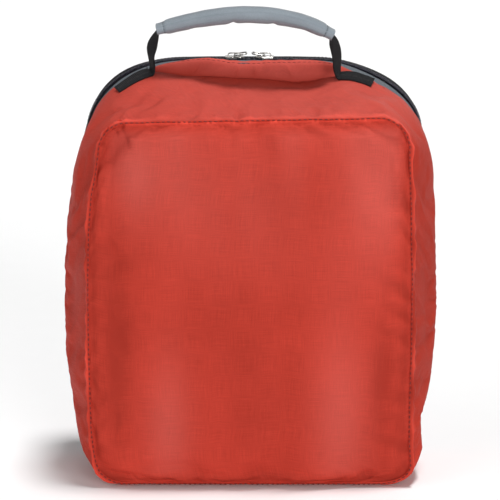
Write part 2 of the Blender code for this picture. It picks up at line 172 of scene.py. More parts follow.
def resample(grid, position, axis, wrap=False):
    """Read a grid at fractional positions along one axis, by a smooth cubic."""
    grid = np.moveaxis(grid, axis, 0)
    count = len(grid)
    start = np.floor(position).astype(int)
    if not wrap:
        start = np.clip(start, 0, count - 2)
    t = (position - start).reshape((-1,) + (1,) * (grid.ndim - 1))
    picks = [start + step for step in (-1, 0, 1, 2)]
    picks = [pick % count if wrap else np.clip(pick, 0, count - 1) for pick in picks]
    before, low, high, after = (grid[pick] for pick in picks)
    result = low + 0.5 * t * (high - before + t * (2 * before - 5 * low + 4 * high - after
                                                  + t * (3 * (low - high) + after - before)))
    return np.moveaxis(result, 0, axis)


def unit(vectors):
    """Vectors brought to length 1."""
    return vectors / np.maximum(np.linalg.norm(vectors, axis=-1, keepdims=True), 1e-12)


def signed_power(values, power):
    return np.sign(values) * np.abs(values) ** power


def looped(values, axis=0):
    """Values that end with their first one again."""
    return np.concatenate([values, np.take(values, [0], axis)], axis)


def along_rows(grid):
    """Arc length of each row of a grid."""
    steps = np.linalg.norm(np.diff(grid, axis=1), axis=2)
    return np.concatenate([np.zeros((len(grid), 1)), np.cumsum(steps, axis=1)], axis=1)


def along_columns(grid):
    return along_rows(grid.transpose(1, 0, 2)).T


def grid_normals(grid, wrap=False):
    """Unit normals of a grid of points: rows run down, columns run across."""
    down = np.gradient(grid, axis=0)
    if wrap:
        across = 0.5 * (np.roll(grid, -1, axis=1) - np.roll(grid, 1, axis=1))
    else:
        across = np.gradient(grid, axis=1)
    return unit(np.cross(across, down))


def wall_normals(grid):
    """Outward unit normals of a closed zip-round grid."""
    return -grid_normals(grid, wrap=True)


def wave_noise(position, scale, octaves=3, seed=0):
    """Smooth noise from sums of sines, for positions of shape (..., n)."""
    source = np.random.default_rng(seed)
    total = np.zeros(position.shape[:-1])
    for octave in range(octaves):
        for _ in range(5):
            direction = source.normal(size=position.shape[-1])
            phase = source.uniform(0, 2 * np.pi)
            total += 0.5 ** octave * np.sin(position @ direction * scale * 2 ** octave + phase)
    return total / (5 ** 0.5)


# ---- mesh helpers

def mesh_object(name, points, faces, material, uvs=None, smooth=True):
    mesh = bpy.data.meshes.new(name)
    mesh.from_pydata([tuple(point) for point in points], [], [tuple(face) for face in faces])
    if smooth:
        mesh.shade_smooth()
    mesh.materials.append(material)
    if uvs is not None:
        layer = mesh.uv_layers.new(name="cloth")
        corners = np.empty(len(mesh.loops), dtype=np.int32)
        mesh.loops.foreach_get("vertex_index", corners)
        layer.data.foreach_set("uv", np.asarray(uvs, dtype=np.float32)[corners].ravel())
    made = bpy.data.objects.new(name, mesh)
    bpy.context.scene.collection.objects.link(made)
    return made


def grid_faces(rows, columns, wrap=False):
    """Quads of a grid, wound so that the normal is across x down."""
    row = np.arange(rows - 1)[:, None]
    column = np.arange(columns if wrap else columns - 1)[None, :]
    after = (column + 1) % columns
    quads = [row * columns + column, row * columns + after,
             (row + 1) * columns + after, (row + 1) * columns + column]
    return np.stack([quad + 0 * row for quad in quads], axis=-1).reshape(-1, 4)


def set_values(made, name, values):
    attribute = made.data.attributes.new(name, "FLOAT", "POINT")
    attribute.data.foreach_set("value", np.asarray(values, dtype=np.float32).ravel())


def grid_object(name, grid, material, thickness=0.0, offset=-1.0):
    uvs = np.stack([along_rows(grid), along_columns(grid)], axis=-1).reshape(-1, 2)
    made = mesh_object(name, grid.reshape(-1, 3), grid_faces(*grid.shape[:2]), material, uvs)
    if thickness:
        thicken(made, thickness, offset)
    return made


def thicken(made, thickness, offset=-1.0):
    wall = made.modifiers.new("wall", "SOLIDIFY")
    wall.thickness = thickness
    wall.offset = offset


def round_steps(path):
    """Steps along a closed path, from each point's neighbour to the next."""
    return np.roll(path, -1, axis=0) - np.roll(path, 1, axis=0)


def frames_along(path, closed=False):
    """Tangents and two crosswise directions along a path, without twist."""
    tangents = unit(round_steps(path) if closed else np.gradient(path, axis=0))
    side = np.cross(tangents[0], (0.0, 0.0, 1.0))
    if np.linalg.norm(side) < 0.1:
        side = np.cross(tangents[0], (0.0, 1.0, 0.0))
    sides = np.empty_like(path)
    for index, tangent in enumerate(tangents):
        side = side - tangent * side.dot(tangent)
        side /= np.linalg.norm(side)
        sides[index] = side
    return tangents, sides, np.cross(tangents, sides)


def tube_parts(path, radius, sides=8, closed=False):
    """Points and faces of a round tube along a path."""
    _, one, two = frames_along(path, closed)
    angles = np.arange(sides) * 2 * np.pi / sides
    radius = np.broadcast_to(np.asarray(radius, dtype=float), (len(path),))
    ring = (one[:, None] * np.cos(angles)[None, :, None]
            + two[:, None] * np.sin(angles)[None, :, None])
    points = (path[:, None] + ring * radius[:, None, None]).reshape(-1, 3)
    faces = grid_faces(len(path), sides, wrap=True).tolist()
    last = (len(path) - 1) * sides
    if closed:
        for side in range(sides):
            after = (side + 1) % sides
            faces.append([last + side, last + after, after, side])
    else:
        faces += [list(range(sides))[::-1], list(range(last, last + sides))]
    return points, [face[::-1] for face in faces]


def join_parts(parts):
    """Join pairs of points and faces into one."""
    points, faces, count = [], [], 0
    for some_points, some_faces in parts:
        points.append(some_points)
        faces.extend([[index + count for index in face] for face in some_faces])
        count += len(some_points)
    return np.concatenate(points), faces


def swept(path, wide, thick, section):
    """Grid of a section swept along a path; wide and thick are vectors at each point."""
    return path[:, None] + wide[:, None] * section[None, :, :1] + thick[:, None] * section[None, :, 1:]


def sweep_parts(path, wide, thick, section):
    """Points and faces of a swept section with flat ends."""
    points = swept(path, wide, thick, section)
    rows, columns = points.shape[:2]
    faces = grid_faces(rows, columns, wrap=True).tolist()
    faces.append(list(range(columns))[::-1])
    faces.append([(rows - 1) * columns + column for column in range(columns)])
    return points.reshape(-1, 3), faces


FABRIC = 0.35 * MM


def put(made, body, slot, *nodes):
    """Say what a finished piece rides on and hide the CAD nodes it stands for; the slot is not used."""
    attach(made, body)
    if nodes:
        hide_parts(*nodes)
    return made


def cloth(name, grid, material, body, slot, *nodes, thickness=FABRIC, offset=-1.0):
    """Finished piece of cloth from a grid."""
    return put(grid_object(name, grid, material, thickness, offset), body, slot, *nodes)


def solid(name, parts, material, body, slot, *nodes):
    """Finished piece from pairs of points and faces."""
    return put(mesh_object(name, *join_parts(parts), material), body, slot, *nodes)


def weld(made, cap=False):
    """Close a grid whose first and last rows or columns lie on each other, and cap it if asked."""
    form = bmesh.new()
    form.from_mesh(made.data)
    bmesh.ops.remove_doubles(form, verts=form.verts, dist=0.001 * MM)
    if cap:
        bmesh.ops.holes_fill(form, edges=[edge for edge in form.edges if edge.is_boundary], sides=0)
    bmesh.ops.recalc_face_normals(form, faces=form.faces)
    form.to_mesh(made.data)
    form.free()


# ---- the sewn shell

GUSSET_ROWS = 21
PANEL_CROWN = 6 * MM
SLACK = 0.024            # how much wider the cloth is than the seam it is gathered into
SIM_FRAMES = 22
SIM_PRESSURE = 0.8
SIM_CAP = 6 * MM
CORNER = CELLS[0] + CELLS[1] // 2
SHOULDER = CELLS[0] + CELLS[1] + CELLS[2] + CELLS[3] // 2
PANEL_COLUMNS = 2 * CORNER
PANEL_ROWS = SHOULDER - CORNER


def gusset_base():
    """Grid of the zip-round wall: rows from the main seam to the zipper, columns round the outline."""
    depths = FRONT_Y + (BACK_Y - FRONT_Y) * np.linspace(0, 1, GUSSET_ROWS)
    grid = np.stack([outline(y) for y in depths])
    share = np.linspace(0, 1, GUSSET_ROWS)[:, None]
    x, z = grid[..., 0], grid[..., 2]
    on_top = smoothstep(0.80 * TOP, 0.93 * TOP, z)
    between_roots = 1 - smoothstep(40 * MM, 84 * MM, np.abs(x + 3 * MM))
    sag = 6.0 * MM * bump(share, 0.865, 0.06) + 3.0 * MM * bump(share, 0.74, 0.16)
    grid[..., 2] -= sag * on_top * between_roots
    at_sliders = bump(x, SLIDERS_X, 16 * MM)
    lip = 1.2 + 1.0 * bump(x, -31 * MM, 12 * MM) - 1.5 * at_sliders
    along = 1 - smoothstep(45 * MM, 70 * MM, np.abs(x))
    grid[..., 2] += lip * MM * along * bump(share, 0.965, 0.035) * on_top
    return grid


def panel_base(edge):
    """Grid of the main panel from the outline at the seam, by blending its four sides."""
    bottom = edge[np.arange(-CORNER, CORNER + 1) % ROUND]
    top = edge[(np.arange(PANEL_COLUMNS + 1)[::-1] + SHOULDER) % ROUND]
    right = edge[np.arange(CORNER, SHOULDER + 1)]
    left = edge[(-np.arange(CORNER, SHOULDER + 1)) % ROUND]
    a = np.linspace(0, 1, PANEL_COLUMNS + 1)[None, :, None]
    b = np.linspace(0, 1, PANEL_ROWS + 1)[:, None, None]
    sides = (1 - a) * left[:, None] + a * right[:, None]
    ends = (1 - b) * bottom[None] + b * top[None]
    corners = ((1 - a) * (1 - b) * bottom[0] + a * (1 - b) * bottom[-1]
               + (1 - a) * b * top[0] + a * b * top[-1])
    grid = sides + ends - corners
    pillow = (1 - np.abs(2 * a - 1) ** 2.6) * (1 - np.abs(2 * b - 1) ** 2.4)
    grid[..., 1] = FRONT_Y - PANEL_CROWN * pillow[..., 0] ** 0.85
    return grid


def sewn_cloth(panel, gusset):
    """One mesh of the panel and the gusset, which share the points of the main seam."""
    rows, columns = panel.shape[:2]
    index = np.arange(rows * columns).reshape(rows, columns)
    rim = np.empty(ROUND, dtype=int)
    rim[np.arange(-CORNER, CORNER + 1) % ROUND] = index[0]
    rim[(np.arange(PANEL_COLUMNS + 1)[::-1] + SHOULDER) % ROUND] = index[-1]
    rim[np.arange(CORNER, SHOULDER + 1)] = index[:, -1]
    rim[(-np.arange(CORNER, SHOULDER + 1)) % ROUND] = index[:, 0]
    wall = np.arange((GUSSET_ROWS - 1) * ROUND).reshape(GUSSET_ROWS - 1, ROUND) + rows * columns
    wall = np.concatenate([rim[None], wall])
    after = np.roll(wall, -1, axis=1)
    quads = np.stack([wall[:-1], wall[1:], after[1:], after[:-1]], axis=-1).reshape(-1, 4)
    flat = np.stack([index[:-1, :-1], index[:-1, 1:], index[1:, 1:], index[1:, :-1]], axis=-1)
    points = np.concatenate([panel.reshape(-1, 3), gusset[1:].reshape(-1, 3)])
    return points, np.concatenate([flat.reshape(-1, 4), quads]), rim, wall


def weight_group(made, name, *weights):
    group = made.vertex_groups.new(name=name)
    for indices, weight in weights:
        group.add(indices.tolist(), weight, "REPLACE")


def simulate(made):
    """Inflate a sewn cloth a little and let the slack along its seams pucker."""
    sewn = made.modifiers.new("cloth", "CLOTH")
    settings = sewn.settings
    settings.quality = 7
    settings.mass = 0.25
    settings.tension_stiffness = 25
    settings.compression_stiffness = 12
    settings.shear_stiffness = 8
    settings.bending_stiffness = 0.35
    settings.vertex_group_mass = "pin"
    settings.use_pressure = True
    settings.uniform_pressure_force = SIM_PRESSURE
    settings.vertex_group_shrink = "seam"
    settings.shrink_min = -SLACK
    settings.shrink_max = 0.0
    settings.effector_weights.gravity = 0.0
    sewn.collision_settings.use_collision = False
    sewn.point_cache.frame_start = 1
    sewn.point_cache.frame_end = SIM_FRAMES
    scene = bpy.context.scene
    for number in range(1, SIM_FRAMES + 1):
        scene.frame_set(number)
    graph = bpy.context.evaluated_depsgraph_get()
    mesh = made.evaluated_get(graph).to_mesh()
    points = np.empty(len(mesh.vertices) * 3)
    mesh.vertices.foreach_get("co", points)
    made.evaluated_get(graph).to_mesh_clear()
    scene.frame_set(1)
    return points.reshape(-1, 3)


def capped(points, rest, cap):
    move = points - rest
    size = np.maximum(np.linalg.norm(move, axis=1, keepdims=True), 1e-9)
    return rest + move / size * cap * np.tanh(size / cap)


def relax_shell():
    """The sewn shell after its simulation, as a panel grid and a gusset grid."""
    gusset = gusset_base()
    panel = panel_base(gusset[0])
    points, faces, rim, wall = sewn_cloth(panel, gusset)
    made = mesh_object("shell_trial", points, faces, bpy.data.materials.new("trial"))
    flat = np.nonzero((points[:, 2] < 1.5 * MM) & (np.abs(points[:, 0]) < BASE_HALF))[0]
    weight_group(made, "pin", (wall[-1], 1.0), (wall[-2], 0.4), (rim, 0.9), (flat, 1.0))
    weight_group(made, "seam", (rim, 1.0), (wall[-1], 1.0))
    points = capped(simulate(made), points, SIM_CAP)
    bpy.data.objects.remove(made)
    points[:, 2] = np.maximum(points[:, 2], 0.0)
    return points[:panel.size // 3].reshape(panel.shape), points[wall]


# ---- fine surface of the shell

STITCH_PITCH = 3.5 * MM
NEAR_SEAM = np.array([0.0, 0.6, 1.2, 1.8, 2.4, 3.0, 3.7, 4.5, 5.5, 6.8, 8.3, 10.0]) * MM
FINE_CELL = 1.7 * MM


def fine_positions(length, cells):
    """Fractional grid positions over a length: close together near the seams at its ends, even between."""
    start, end = NEAR_SEAM[-1], length - NEAR_SEAM[-1]
    even = np.linspace(start, end, int(round((end - start) / FINE_CELL)) + 1)
    return np.concatenate([NEAR_SEAM[:-1], even, length - NEAR_SEAM[:-1][::-1]]) / length * cells


def pucker_wave(run, seed, spacing=9 * MM):
    """Irregular gathers along a seam: a value from 0 to 1 at each distance run along it."""
    source = np.random.default_rng(seed)
    knots = np.cumsum(source.uniform(0.6, 1.5, 400)) * spacing
    phases = np.arange(400) * np.pi
    strength = source.uniform(0.25, 1.0, 400)
    phase = np.interp(run, knots, phases)
    return (0.5 + 0.5 * np.cos(phase)) * np.interp(run, knots, strength)


def crease(grid, start, end, width, plane=(0, 2)):
    """Soft mark along a line from start to end, as seen on the given axes; 1 on the line."""
    flat = grid[..., list(plane)] - np.array(start)
    line = np.array(end) - np.array(start)
    share = np.clip((flat @ line) / (line @ line), 0, 1)
    distance = np.linalg.norm(flat - share[..., None] * line, axis=-1)
    fade = np.sin(np.pi * np.clip(0.12 + 0.88 * share, 0, 1)) ** 0.5
    return np.exp(-(distance / width) ** 2) * fade


PANEL_WIDTH, PANEL_HEIGHT = 2 * PANEL_HIGH.x, PANEL_HIGH.z - PANEL_LOW.z
# Painted shade in the valleys of the gathers and painted highlight on their ridges; its strength at each
# seam:
GATHER_SHADE = (0.35, 0.75, 0.30, 0.25)     # how dark the gathers get: left, right, bottom, top seam


def fine_panel(panel):
    """Main panel with its stitch groove, seam allowance, gathers and creases, and the painted shade of its
    gathers.
    """
    columns = fine_positions(PANEL_WIDTH, PANEL_COLUMNS)
    rows = fine_positions(PANEL_HEIGHT, PANEL_ROWS)
    grid = resample(resample(panel, rows, 0), columns, 1)
    x, z = np.meshgrid(columns / PANEL_COLUMNS * PANEL_WIDTH, rows / PANEL_ROWS * PANEL_HEIGHT)
    sides = np.stack([x, PANEL_WIDTH - x, z, PANEL_HEIGHT - z])
    distance = sides.min(axis=0)
    groove = -0.55 * MM * bump(distance, 0.0, 1.0 * MM)
    allowance = 0.3 * MM * bump(distance, 9 * MM, 1.6 * MM)
    gutter = 1.5 * MM * bump(sides[0], 20 * MM, 11 * MM) * smoothstep(20 * MM, 70 * MM, z)
    waves = 1.3 * MM * wave_noise(np.stack([x, 0.28 * z], axis=-1), 62.0, 2, seed=15)
    lift = groove + allowance - gutter + waves * smoothstep(8 * MM, 36 * MM, distance)
    gathers = np.zeros_like(lift)
    for number, (side, run) in enumerate(zip(sides, (z, z, x, x))):
        lean = run - 0.55 * side if number < 2 else run
        reach = np.exp(-side / (7 * MM)) * smoothstep(0, 2 * MM, side)
        pucker = pucker_wave(lean, 11 + number)
        lift -= 1.1 * MM * pucker * reach
        # Painted shade where the gathers sink and painted highlight where they rise.
        shown = GATHER_SHADE[number] * np.exp(-side / (10 * MM)) * smoothstep(2 * MM, 5 * MM, side)
        gathers += (pucker - 0.35) * shown
    for start, end, depth, size in PANEL_CREASES:
        lift -= depth * MM * crease(grid, np.array(start) * MM, np.array(end) * MM, size * MM)
    lift += 0.16 * MM * wave_noise(grid[..., [0, 2]], 95.0, seed=3)
    grid += grid_normals(grid) * lift[..., None]
    return grid, distance, gathers


# Creases on the main panel: start and end (x, z), depth and width, all in millimetres.
PANEL_CREASES = (
    ((-88, 260), (-81, 238), 2.4, 1.7),
    ((-93, 256), (-84, 240), 1.4, 2.2),
    ((-101, 246), (-86, 240), 1.0, 3.0),
    ((88, 5), (60, 24), 1.6, 3.0),
    ((96, 246), (82, 226), 1.0, 3.6),
    ((-88, 8), (-66, 20), 0.9, 4.0),
    ((100, 150), (88, 128), 0.8, 4.0),
    ((-98, 176), (-86, 160), 1.1, 4.2),
    ((-97, 120), (-84, 104), 1.0, 4.5),
    ((0, 252), (4, 226), 0.5, 5.0),
)

# Creases on the gusset, as seen from above (x, y): the same form.
TOP_CREASES = (
    ((-9, -36), (-8, -53), 2.6, 1.5),
    ((-13, -40), (-10, -53), 1.2, 2.0),
    ((40, -36), (46, -52), 0.6, 2.4),
    ((-86, -49), (-48, -24), 1.2, 3.5),
    ((-88, -44), (-66, -12), 1.4, 3.0),
    ((88, -46), (50, -22), 1.2, 3.5),
    ((92, -40), (78, -8), 1.2, 3.0),
)


def fine_gusset(gusset):
    """Gusset with the welt along the main seam, gathers on both edges and long folds on the sides."""
    depth = float(along_columns(gusset)[-1].mean())
    rows = fine_positions(depth, GUSSET_ROWS - 1)
    columns = np.arange(0, ROUND, 0.5)
    grid = resample(resample(gusset, rows, 0), columns, 1, wrap=True)
    distance = (rows / (GUSSET_ROWS - 1) * depth)[:, None] + np.zeros(len(columns))[None]
    run = along_rows(grid)[:1] + np.zeros(len(rows))[:, None]
    z, x = grid[..., 2], grid[..., 0]
    standing = smoothstep(0.5 * MM, 6 * MM, z)
    uneven_welt = 0.72 + 0.28 * wave_noise(run[..., None], 160.0, seed=5)
    on_top = smoothstep(0.80 * TOP, 0.90 * TOP, z)
    welt = (1.5 - 1.1 * on_top) * MM * uneven_welt * bump(distance, 2.6 * MM, 1.7 * MM)
    forward = (2.4 - 1.7 * on_top) * MM * uneven_welt * bump(distance, 2.8 * MM, 2.0 * MM)
    lift = welt - 0.5 * MM * bump(distance, 0.0, 0.9 * MM)
    lean = run + 0.5 * distance
    reach = np.exp(-distance / (9 * MM)) * smoothstep(2 * MM, 6 * MM, distance)
    lift -= 1.0 * MM * pucker_wave(lean, 21, 11 * MM) * reach
    far = depth - distance
    lift -= 0.7 * MM * pucker_wave(run - 0.3 * far, 22, 13 * MM) * np.exp(-far / (7 * MM))
    lift += 0.6 * MM * bump(far, 1.5 * MM, 1.3 * MM) - 0.35 * MM * bump(far, 3.4 * MM, 0.7 * MM)
    for start, end, deep, size in TOP_CREASES:
        mark = crease(grid, np.array(start) * MM, np.array(end) * MM, size * MM, plane=(0, 1))
        lift -= deep * MM * mark * smoothstep(0.8 * TOP, 0.88 * TOP, z)
    folds = np.sin(np.abs(x) * 30 + z * 55 + distance * 95)
    lift += 0.5 * MM * folds * bump(distance / depth, 0.5, 0.3) * wave_noise(grid, 22.0, seed=8)
    lift += 0.18 * MM * wave_noise(grid, 90.0, seed=4)
    grid += wall_normals(grid) * (lift * standing)[..., None]
    grid[..., 1] -= forward * standing
    grid[..., 2] = np.maximum(grid[..., 2], 0.0)
    return grid, distance


def stitch_parts(points, normals, pitch, length, radius, lift):
    """Short threads lying along a line of points, one every pitch."""
    steps = np.linalg.norm(np.diff(points, axis=0), axis=1)
    run = np.concatenate([[0], np.cumsum(steps)])
    parts = []
    profile = np.array([0.35, 0.85, 1.0, 0.85, 0.35]) * radius
    for start in np.arange(0.5 * (pitch - length), run[-1] - length, pitch):
        at = start + np.linspace(0, length, 5)
        path = np.column_stack([np.interp(at, run, points[:, axis]) for axis in range(3)])
        up = np.column_stack([np.interp(at, run, normals[:, axis]) for axis in range(3)])
        arch = lift + 0.5 * radius * np.array([-1.2, 0.6, 1.0, 0.6, -1.2])
        parts.append(tube_parts(path + up * arch[:, None], profile, sides=6))
    return parts


def wall_line(grid, distances, distance):
    """Line of points round the wall at a distance from the main seam, and the normals there."""
    picks = np.interp([distance], distances[:, 0], np.arange(len(grid)))
    return resample(grid, picks, 0)[0], resample(wall_normals(grid), picks, 0)[0]


def seam_fold(gusset):
    """Folded edge of the cloth inside the seam, which closes it behind the stitches."""
    line = looped(gusset[0]) + (0, 0.6 * MM, 0)
    solid("main_seam_fold", [tube_parts(line, 0.85 * MM)], CORAL, "bag", "coral_taffeta")


def seam_stitches(gusset):
    """Row of machine stitches along the main seam, in the groove beside the welt."""
    line, normals = looped(gusset[0]) + (0, -0.45 * MM, 0), looped(wall_normals(gusset)[0])
    points, faces = join_parts(stitch_parts(line, normals, STITCH_PITCH, 2.4 * MM, 0.42 * MM, 0.30 * MM))
    points[:, 2] = np.maximum(points[:, 2], 0.0)
    put(mesh_object("seam_stitches", points, faces, CORAL_THREAD_PAINTED_SHADE), "bag", "coral_taffeta")


def split_gusset(grid):
    """The wall without the flat of the base, and the base strip carried on to the hinge, as two grids."""
    half_base = CELLS[0] * 2
    side = grid[:, half_base:1 - half_base]
    base = np.concatenate([grid[:, -half_base:], grid[:, :half_base + 1]], axis=1)
    depths = np.linspace(BACK_Y, HINGE_EDGE_Y, 13)[1:]
    more = np.repeat(base[-1:], len(depths), axis=0)
    more[..., 1] = depths[:, None]
    more[..., 2] = 0.0
    return side, np.concatenate([base, more])


# ---- materials

class Look:
    """A Principled material and short ways to add nodes to it."""

    def __init__(self, name, roughness=0.6, metallic=0.0, specular=0.4):
        self.material = bpy.data.materials.new(name)
        self.material.use_nodes = True
        self.tree = self.material.node_tree
        self.shader = self.tree.nodes["Principled BSDF"]
        self.shader.inputs["Roughness"].default_value = roughness
        self.shader.inputs["Metallic"].default_value = metallic
        self.shader.inputs["Specular IOR Level"].default_value = specular

    def node(self, kind, **inputs):
        made = self.tree.nodes.new(kind)
        for name, value in inputs.items():
            self.feed(made.inputs[name.replace("_", " ")], value)
        return made

    def feed(self, socket, value):
        if isinstance(value, bpy.types.NodeSocket):
            self.tree.links.new(value, socket)
        elif hasattr(socket.default_value, "__len__") and not hasattr(value, "__len__"):
            socket.default_value = (value,) * len(socket.default_value)
        else:
            socket.default_value = value

    def math(self, operation, first, second=0.0):
        made = self.tree.nodes.new("ShaderNodeMath")
        made.operation = operation
        self.feed(made.inputs[0], first)
        self.feed(made.inputs[1], second)
        return made.outputs[0]

    def cloth_axes(self):
        """Distances along and across the cloth, in metres."""
        where = self.tree.nodes.new("ShaderNodeUVMap")
        where.uv_map = "cloth"
        parts = self.node("ShaderNodeSeparateXYZ", Vector=where.outputs[0])
        return parts.outputs[0], parts.outputs[1]

    def place(self):
        return self.tree.nodes.new("ShaderNodeTexCoord").outputs["Object"]

    def noise(self, vector, scale, detail=3.0, distortion=0.0):
        made = self.node("ShaderNodeTexNoise", Vector=vector, Scale=scale, Detail=detail,
                         Distortion=distortion)
        return made.outputs[0]

    def stretched(self, u, v, along, across):
        return self.node("ShaderNodeCombineXYZ", X=self.math("MULTIPLY", u, along),
                         Y=self.math("MULTIPLY", v, across)).outputs[0]

    def wave(self, along, pitch, phase=0.0):
        """Sine of one turn per pitch, from -1 to 1."""
        turn = self.math("MULTIPLY_ADD", along, math.tau / pitch)
        turn.node.inputs[2].default_value = phase
        return self.math("SINE", turn)

    def mix(self, share, first, second):
        made = self.tree.nodes.new("ShaderNodeMix")
        made.data_type = "RGBA"
        self.feed(made.inputs["Factor"], share)
        for socket, value in ((made.inputs[6], first), (made.inputs[7], second)):
            self.feed(socket, value if isinstance(value, bpy.types.NodeSocket) else (*value, 1.0))
        return made.outputs[2]

    def remap(self, value, low, high, to_low=0.0, to_high=1.0):
        made = self.tree.nodes.new("ShaderNodeMapRange")
        for socket, number in zip(made.inputs[:5], (value, low, high, to_low, to_high)):
            self.feed(socket, number)
        return made.outputs[0]

    def attribute(self, name):
        made = self.tree.nodes.new("ShaderNodeAttribute")
        made.attribute_name = name
        return made.outputs["Fac"]

    def clamped_sum(self, *values):
        """Sum of the values, held between 0 and 1."""
        total = values[0]
        for value in values[1:]:
            total = self.math("ADD", total, value)
        total.node.use_clamp = True
        return total

    def colour(self, value):
        self.feed(self.shader.inputs["Base Color"], value)

    def roughness(self, value):
        self.feed(self.shader.inputs["Roughness"], value)

    def relief(self, *heights):
        """Bump from pairs of height and depth in metres, one after another."""
        normal = None
        for height, depth in heights:
            bump_node = self.node("ShaderNodeBump", Height=height, Distance=depth, Strength=1.0)
            if normal is not None:
                self.feed(bump_node.inputs["Normal"], normal)
            normal = bump_node.outputs[0]
        self.feed(self.shader.inputs["Normal"], normal)

    def sheen(self, weight, roughness=0.4, tint=(1.0, 1.0, 1.0)):
        self.shader.inputs["Sheen Weight"].default_value = weight
        self.shader.inputs["Sheen Roughness"].default_value = roughness
        self.shader.inputs["Sheen Tint"].default_value = (*tint, 1.0)


# Pale pink of the painted sheen on the coral cloth.
PALE_GLEAM = (1.0, 0.80, 0.75)


def taffeta(name, light, deep):
    """Thin plain-weave polyester: slubby threads both ways, faint crinkle, and painted sheen, light and
    shade from vertex attributes.
    """
    look = Look(name, roughness=0.55, specular=0.05)
    u, v = look.cloth_axes()
    weft = look.noise(look.stretched(u, v, 60, 2600), 1.0, 2.0)
    warp = look.noise(look.stretched(u, v, 2600, 60), 1.0, 2.0)
    threads = look.math("MULTIPLY", look.math("ADD", weft, warp), 0.5)
    mottle = look.noise(look.place(), 16.0, 3.0)
    # The tone attribute adds painted shade (deeper) and painted highlight (paler) to the mottled weave.
    share = look.clamped_sum(look.remap(threads, 0.3, 0.7, -0.24, 0.24),
                             look.remap(mottle, 0.3, 0.7, 0.60, 0.80), look.attribute("tone"))
    # Painted sheen: the haze attribute blends the colour towards the pale pink.
    look.colour(look.mix(look.attribute("painted_sheen"), look.mix(share, light, deep), PALE_GLEAM))
    look.roughness(look.remap(threads, 0.3, 0.7, 0.48, 0.62))
    weave = look.math("MULTIPLY", look.wave(u, 0.00045), look.wave(v, 0.00045))
    crinkle = look.noise(look.place(), 140.0, 4.0, 0.6)
    look.relief((weave, 0.00003), (threads, 0.00012), (crinkle, 0.00045))
    return look.material


def ribbed_tape(name, light, deep, rib, groove=0.00012, sheen=0.1):
    """Woven narrow tape with ribs across it."""
    look = Look(name, roughness=0.75, specular=0.25)
    u, v = look.cloth_axes()
    ribs = look.wave(u, rib)
    threads = look.wave(v, 0.0007)
    fuzz = look.noise(look.place(), 900.0, 3.0)
    # The colour is deeper where the ribs are low: painted shade in the grooves.
    share = look.clamped_sum(look.remap(ribs, -1, 1, 0.75, 0.15), look.remap(fuzz, 0.3, 0.7, -0.2, 0.2))
    look.colour(look.mix(share, light, deep))
    look.roughness(look.remap(fuzz, 0.3, 0.7, 0.68, 0.85))
    look.relief((ribs, groove), (threads, 0.00005), (fuzz, 0.00006))
    look.sheen(sheen, 0.5)
    return look.material


def grip_cloth():
    """Grey-blue coated cloth of the grip: fine twill, and painted light and shade in bands along it from a
    vertex attribute.
    """
    look = Look("grip_cloth", roughness=0.6, specular=0.35)
    u, v = look.cloth_axes()
    twill = look.wave(look.math("ADD", u, v), 0.0008)
    mottle = look.noise(look.place(), 60.0, 4.0)
    fine = look.noise(look.place(), 1400.0, 2.0)
    share = look.clamped_sum(look.remap(mottle, 0.3, 0.7, 0.25, 0.6),
                             look.remap(fine, 0.3, 0.7, -0.15, 0.15), look.attribute("tone"))
    look.colour(look.mix(share, (0.25, 0.29, 0.325), (0.165, 0.195, 0.22)))
    look.roughness(look.remap(fine, 0.3, 0.7, 0.5, 0.68))
    look.relief((twill, 0.00004), (fine, 0.00005), (mottle, 0.0004))
    look.sheen(0.15, 0.4)
    return look.material


def polished_metal():
    """Bright nickel plate with fine scratches and dull patches."""
    look = Look("nickel_polished", roughness=0.2, metallic=1.0)
    place = look.place()
    patches = look.noise(place, 260.0, 4.0)
    scratches = look.noise(look.node("ShaderNodeMapping", Vector=place, Scale=(300, 3000, 900)).outputs[0],
                           1.0, 3.0)
    look.colour(look.mix(look.remap(patches, 0.35, 0.7), (0.58, 0.56, 0.53), (0.40, 0.385, 0.365)))
    look.roughness(look.remap(scratches, 0.3, 0.7, 0.14, 0.34))
    look.relief((scratches, 0.000012), (patches, 0.00004))
    return look.material


def grainy(name, light, deep, grain, detail, span, rough, depth, specular):
    """Plain material with a fine grain: its colours, scale, contrast, roughness and depth of relief."""
    look = Look(name, specular=specular)
    grains = look.noise(look.place(), grain, detail)
    look.colour(look.mix(look.remap(grains, *span), light, deep))
    look.roughness(look.remap(grains, 0.3, 0.7, *rough))
    look.relief((grains, depth))
    return look.material


def thread(name, light, deep):
    """Twisted sewing thread."""
    return grainy(name, light, deep, 2600.0, 2.0, (0.35, 0.65), (0.45, 0.7), 0.00005, 0.4)


def porous(name, light, deep, grain):
    """Foam or brushed surface."""
    return grainy(name, light, deep, grain, 4.0, (0.3, 0.7), (0.8, 0.95), 0.0002, 0.2)


CORAL = taffeta("coral_taffeta", (0.74, 0.070, 0.044), (0.375, 0.033, 0.020))
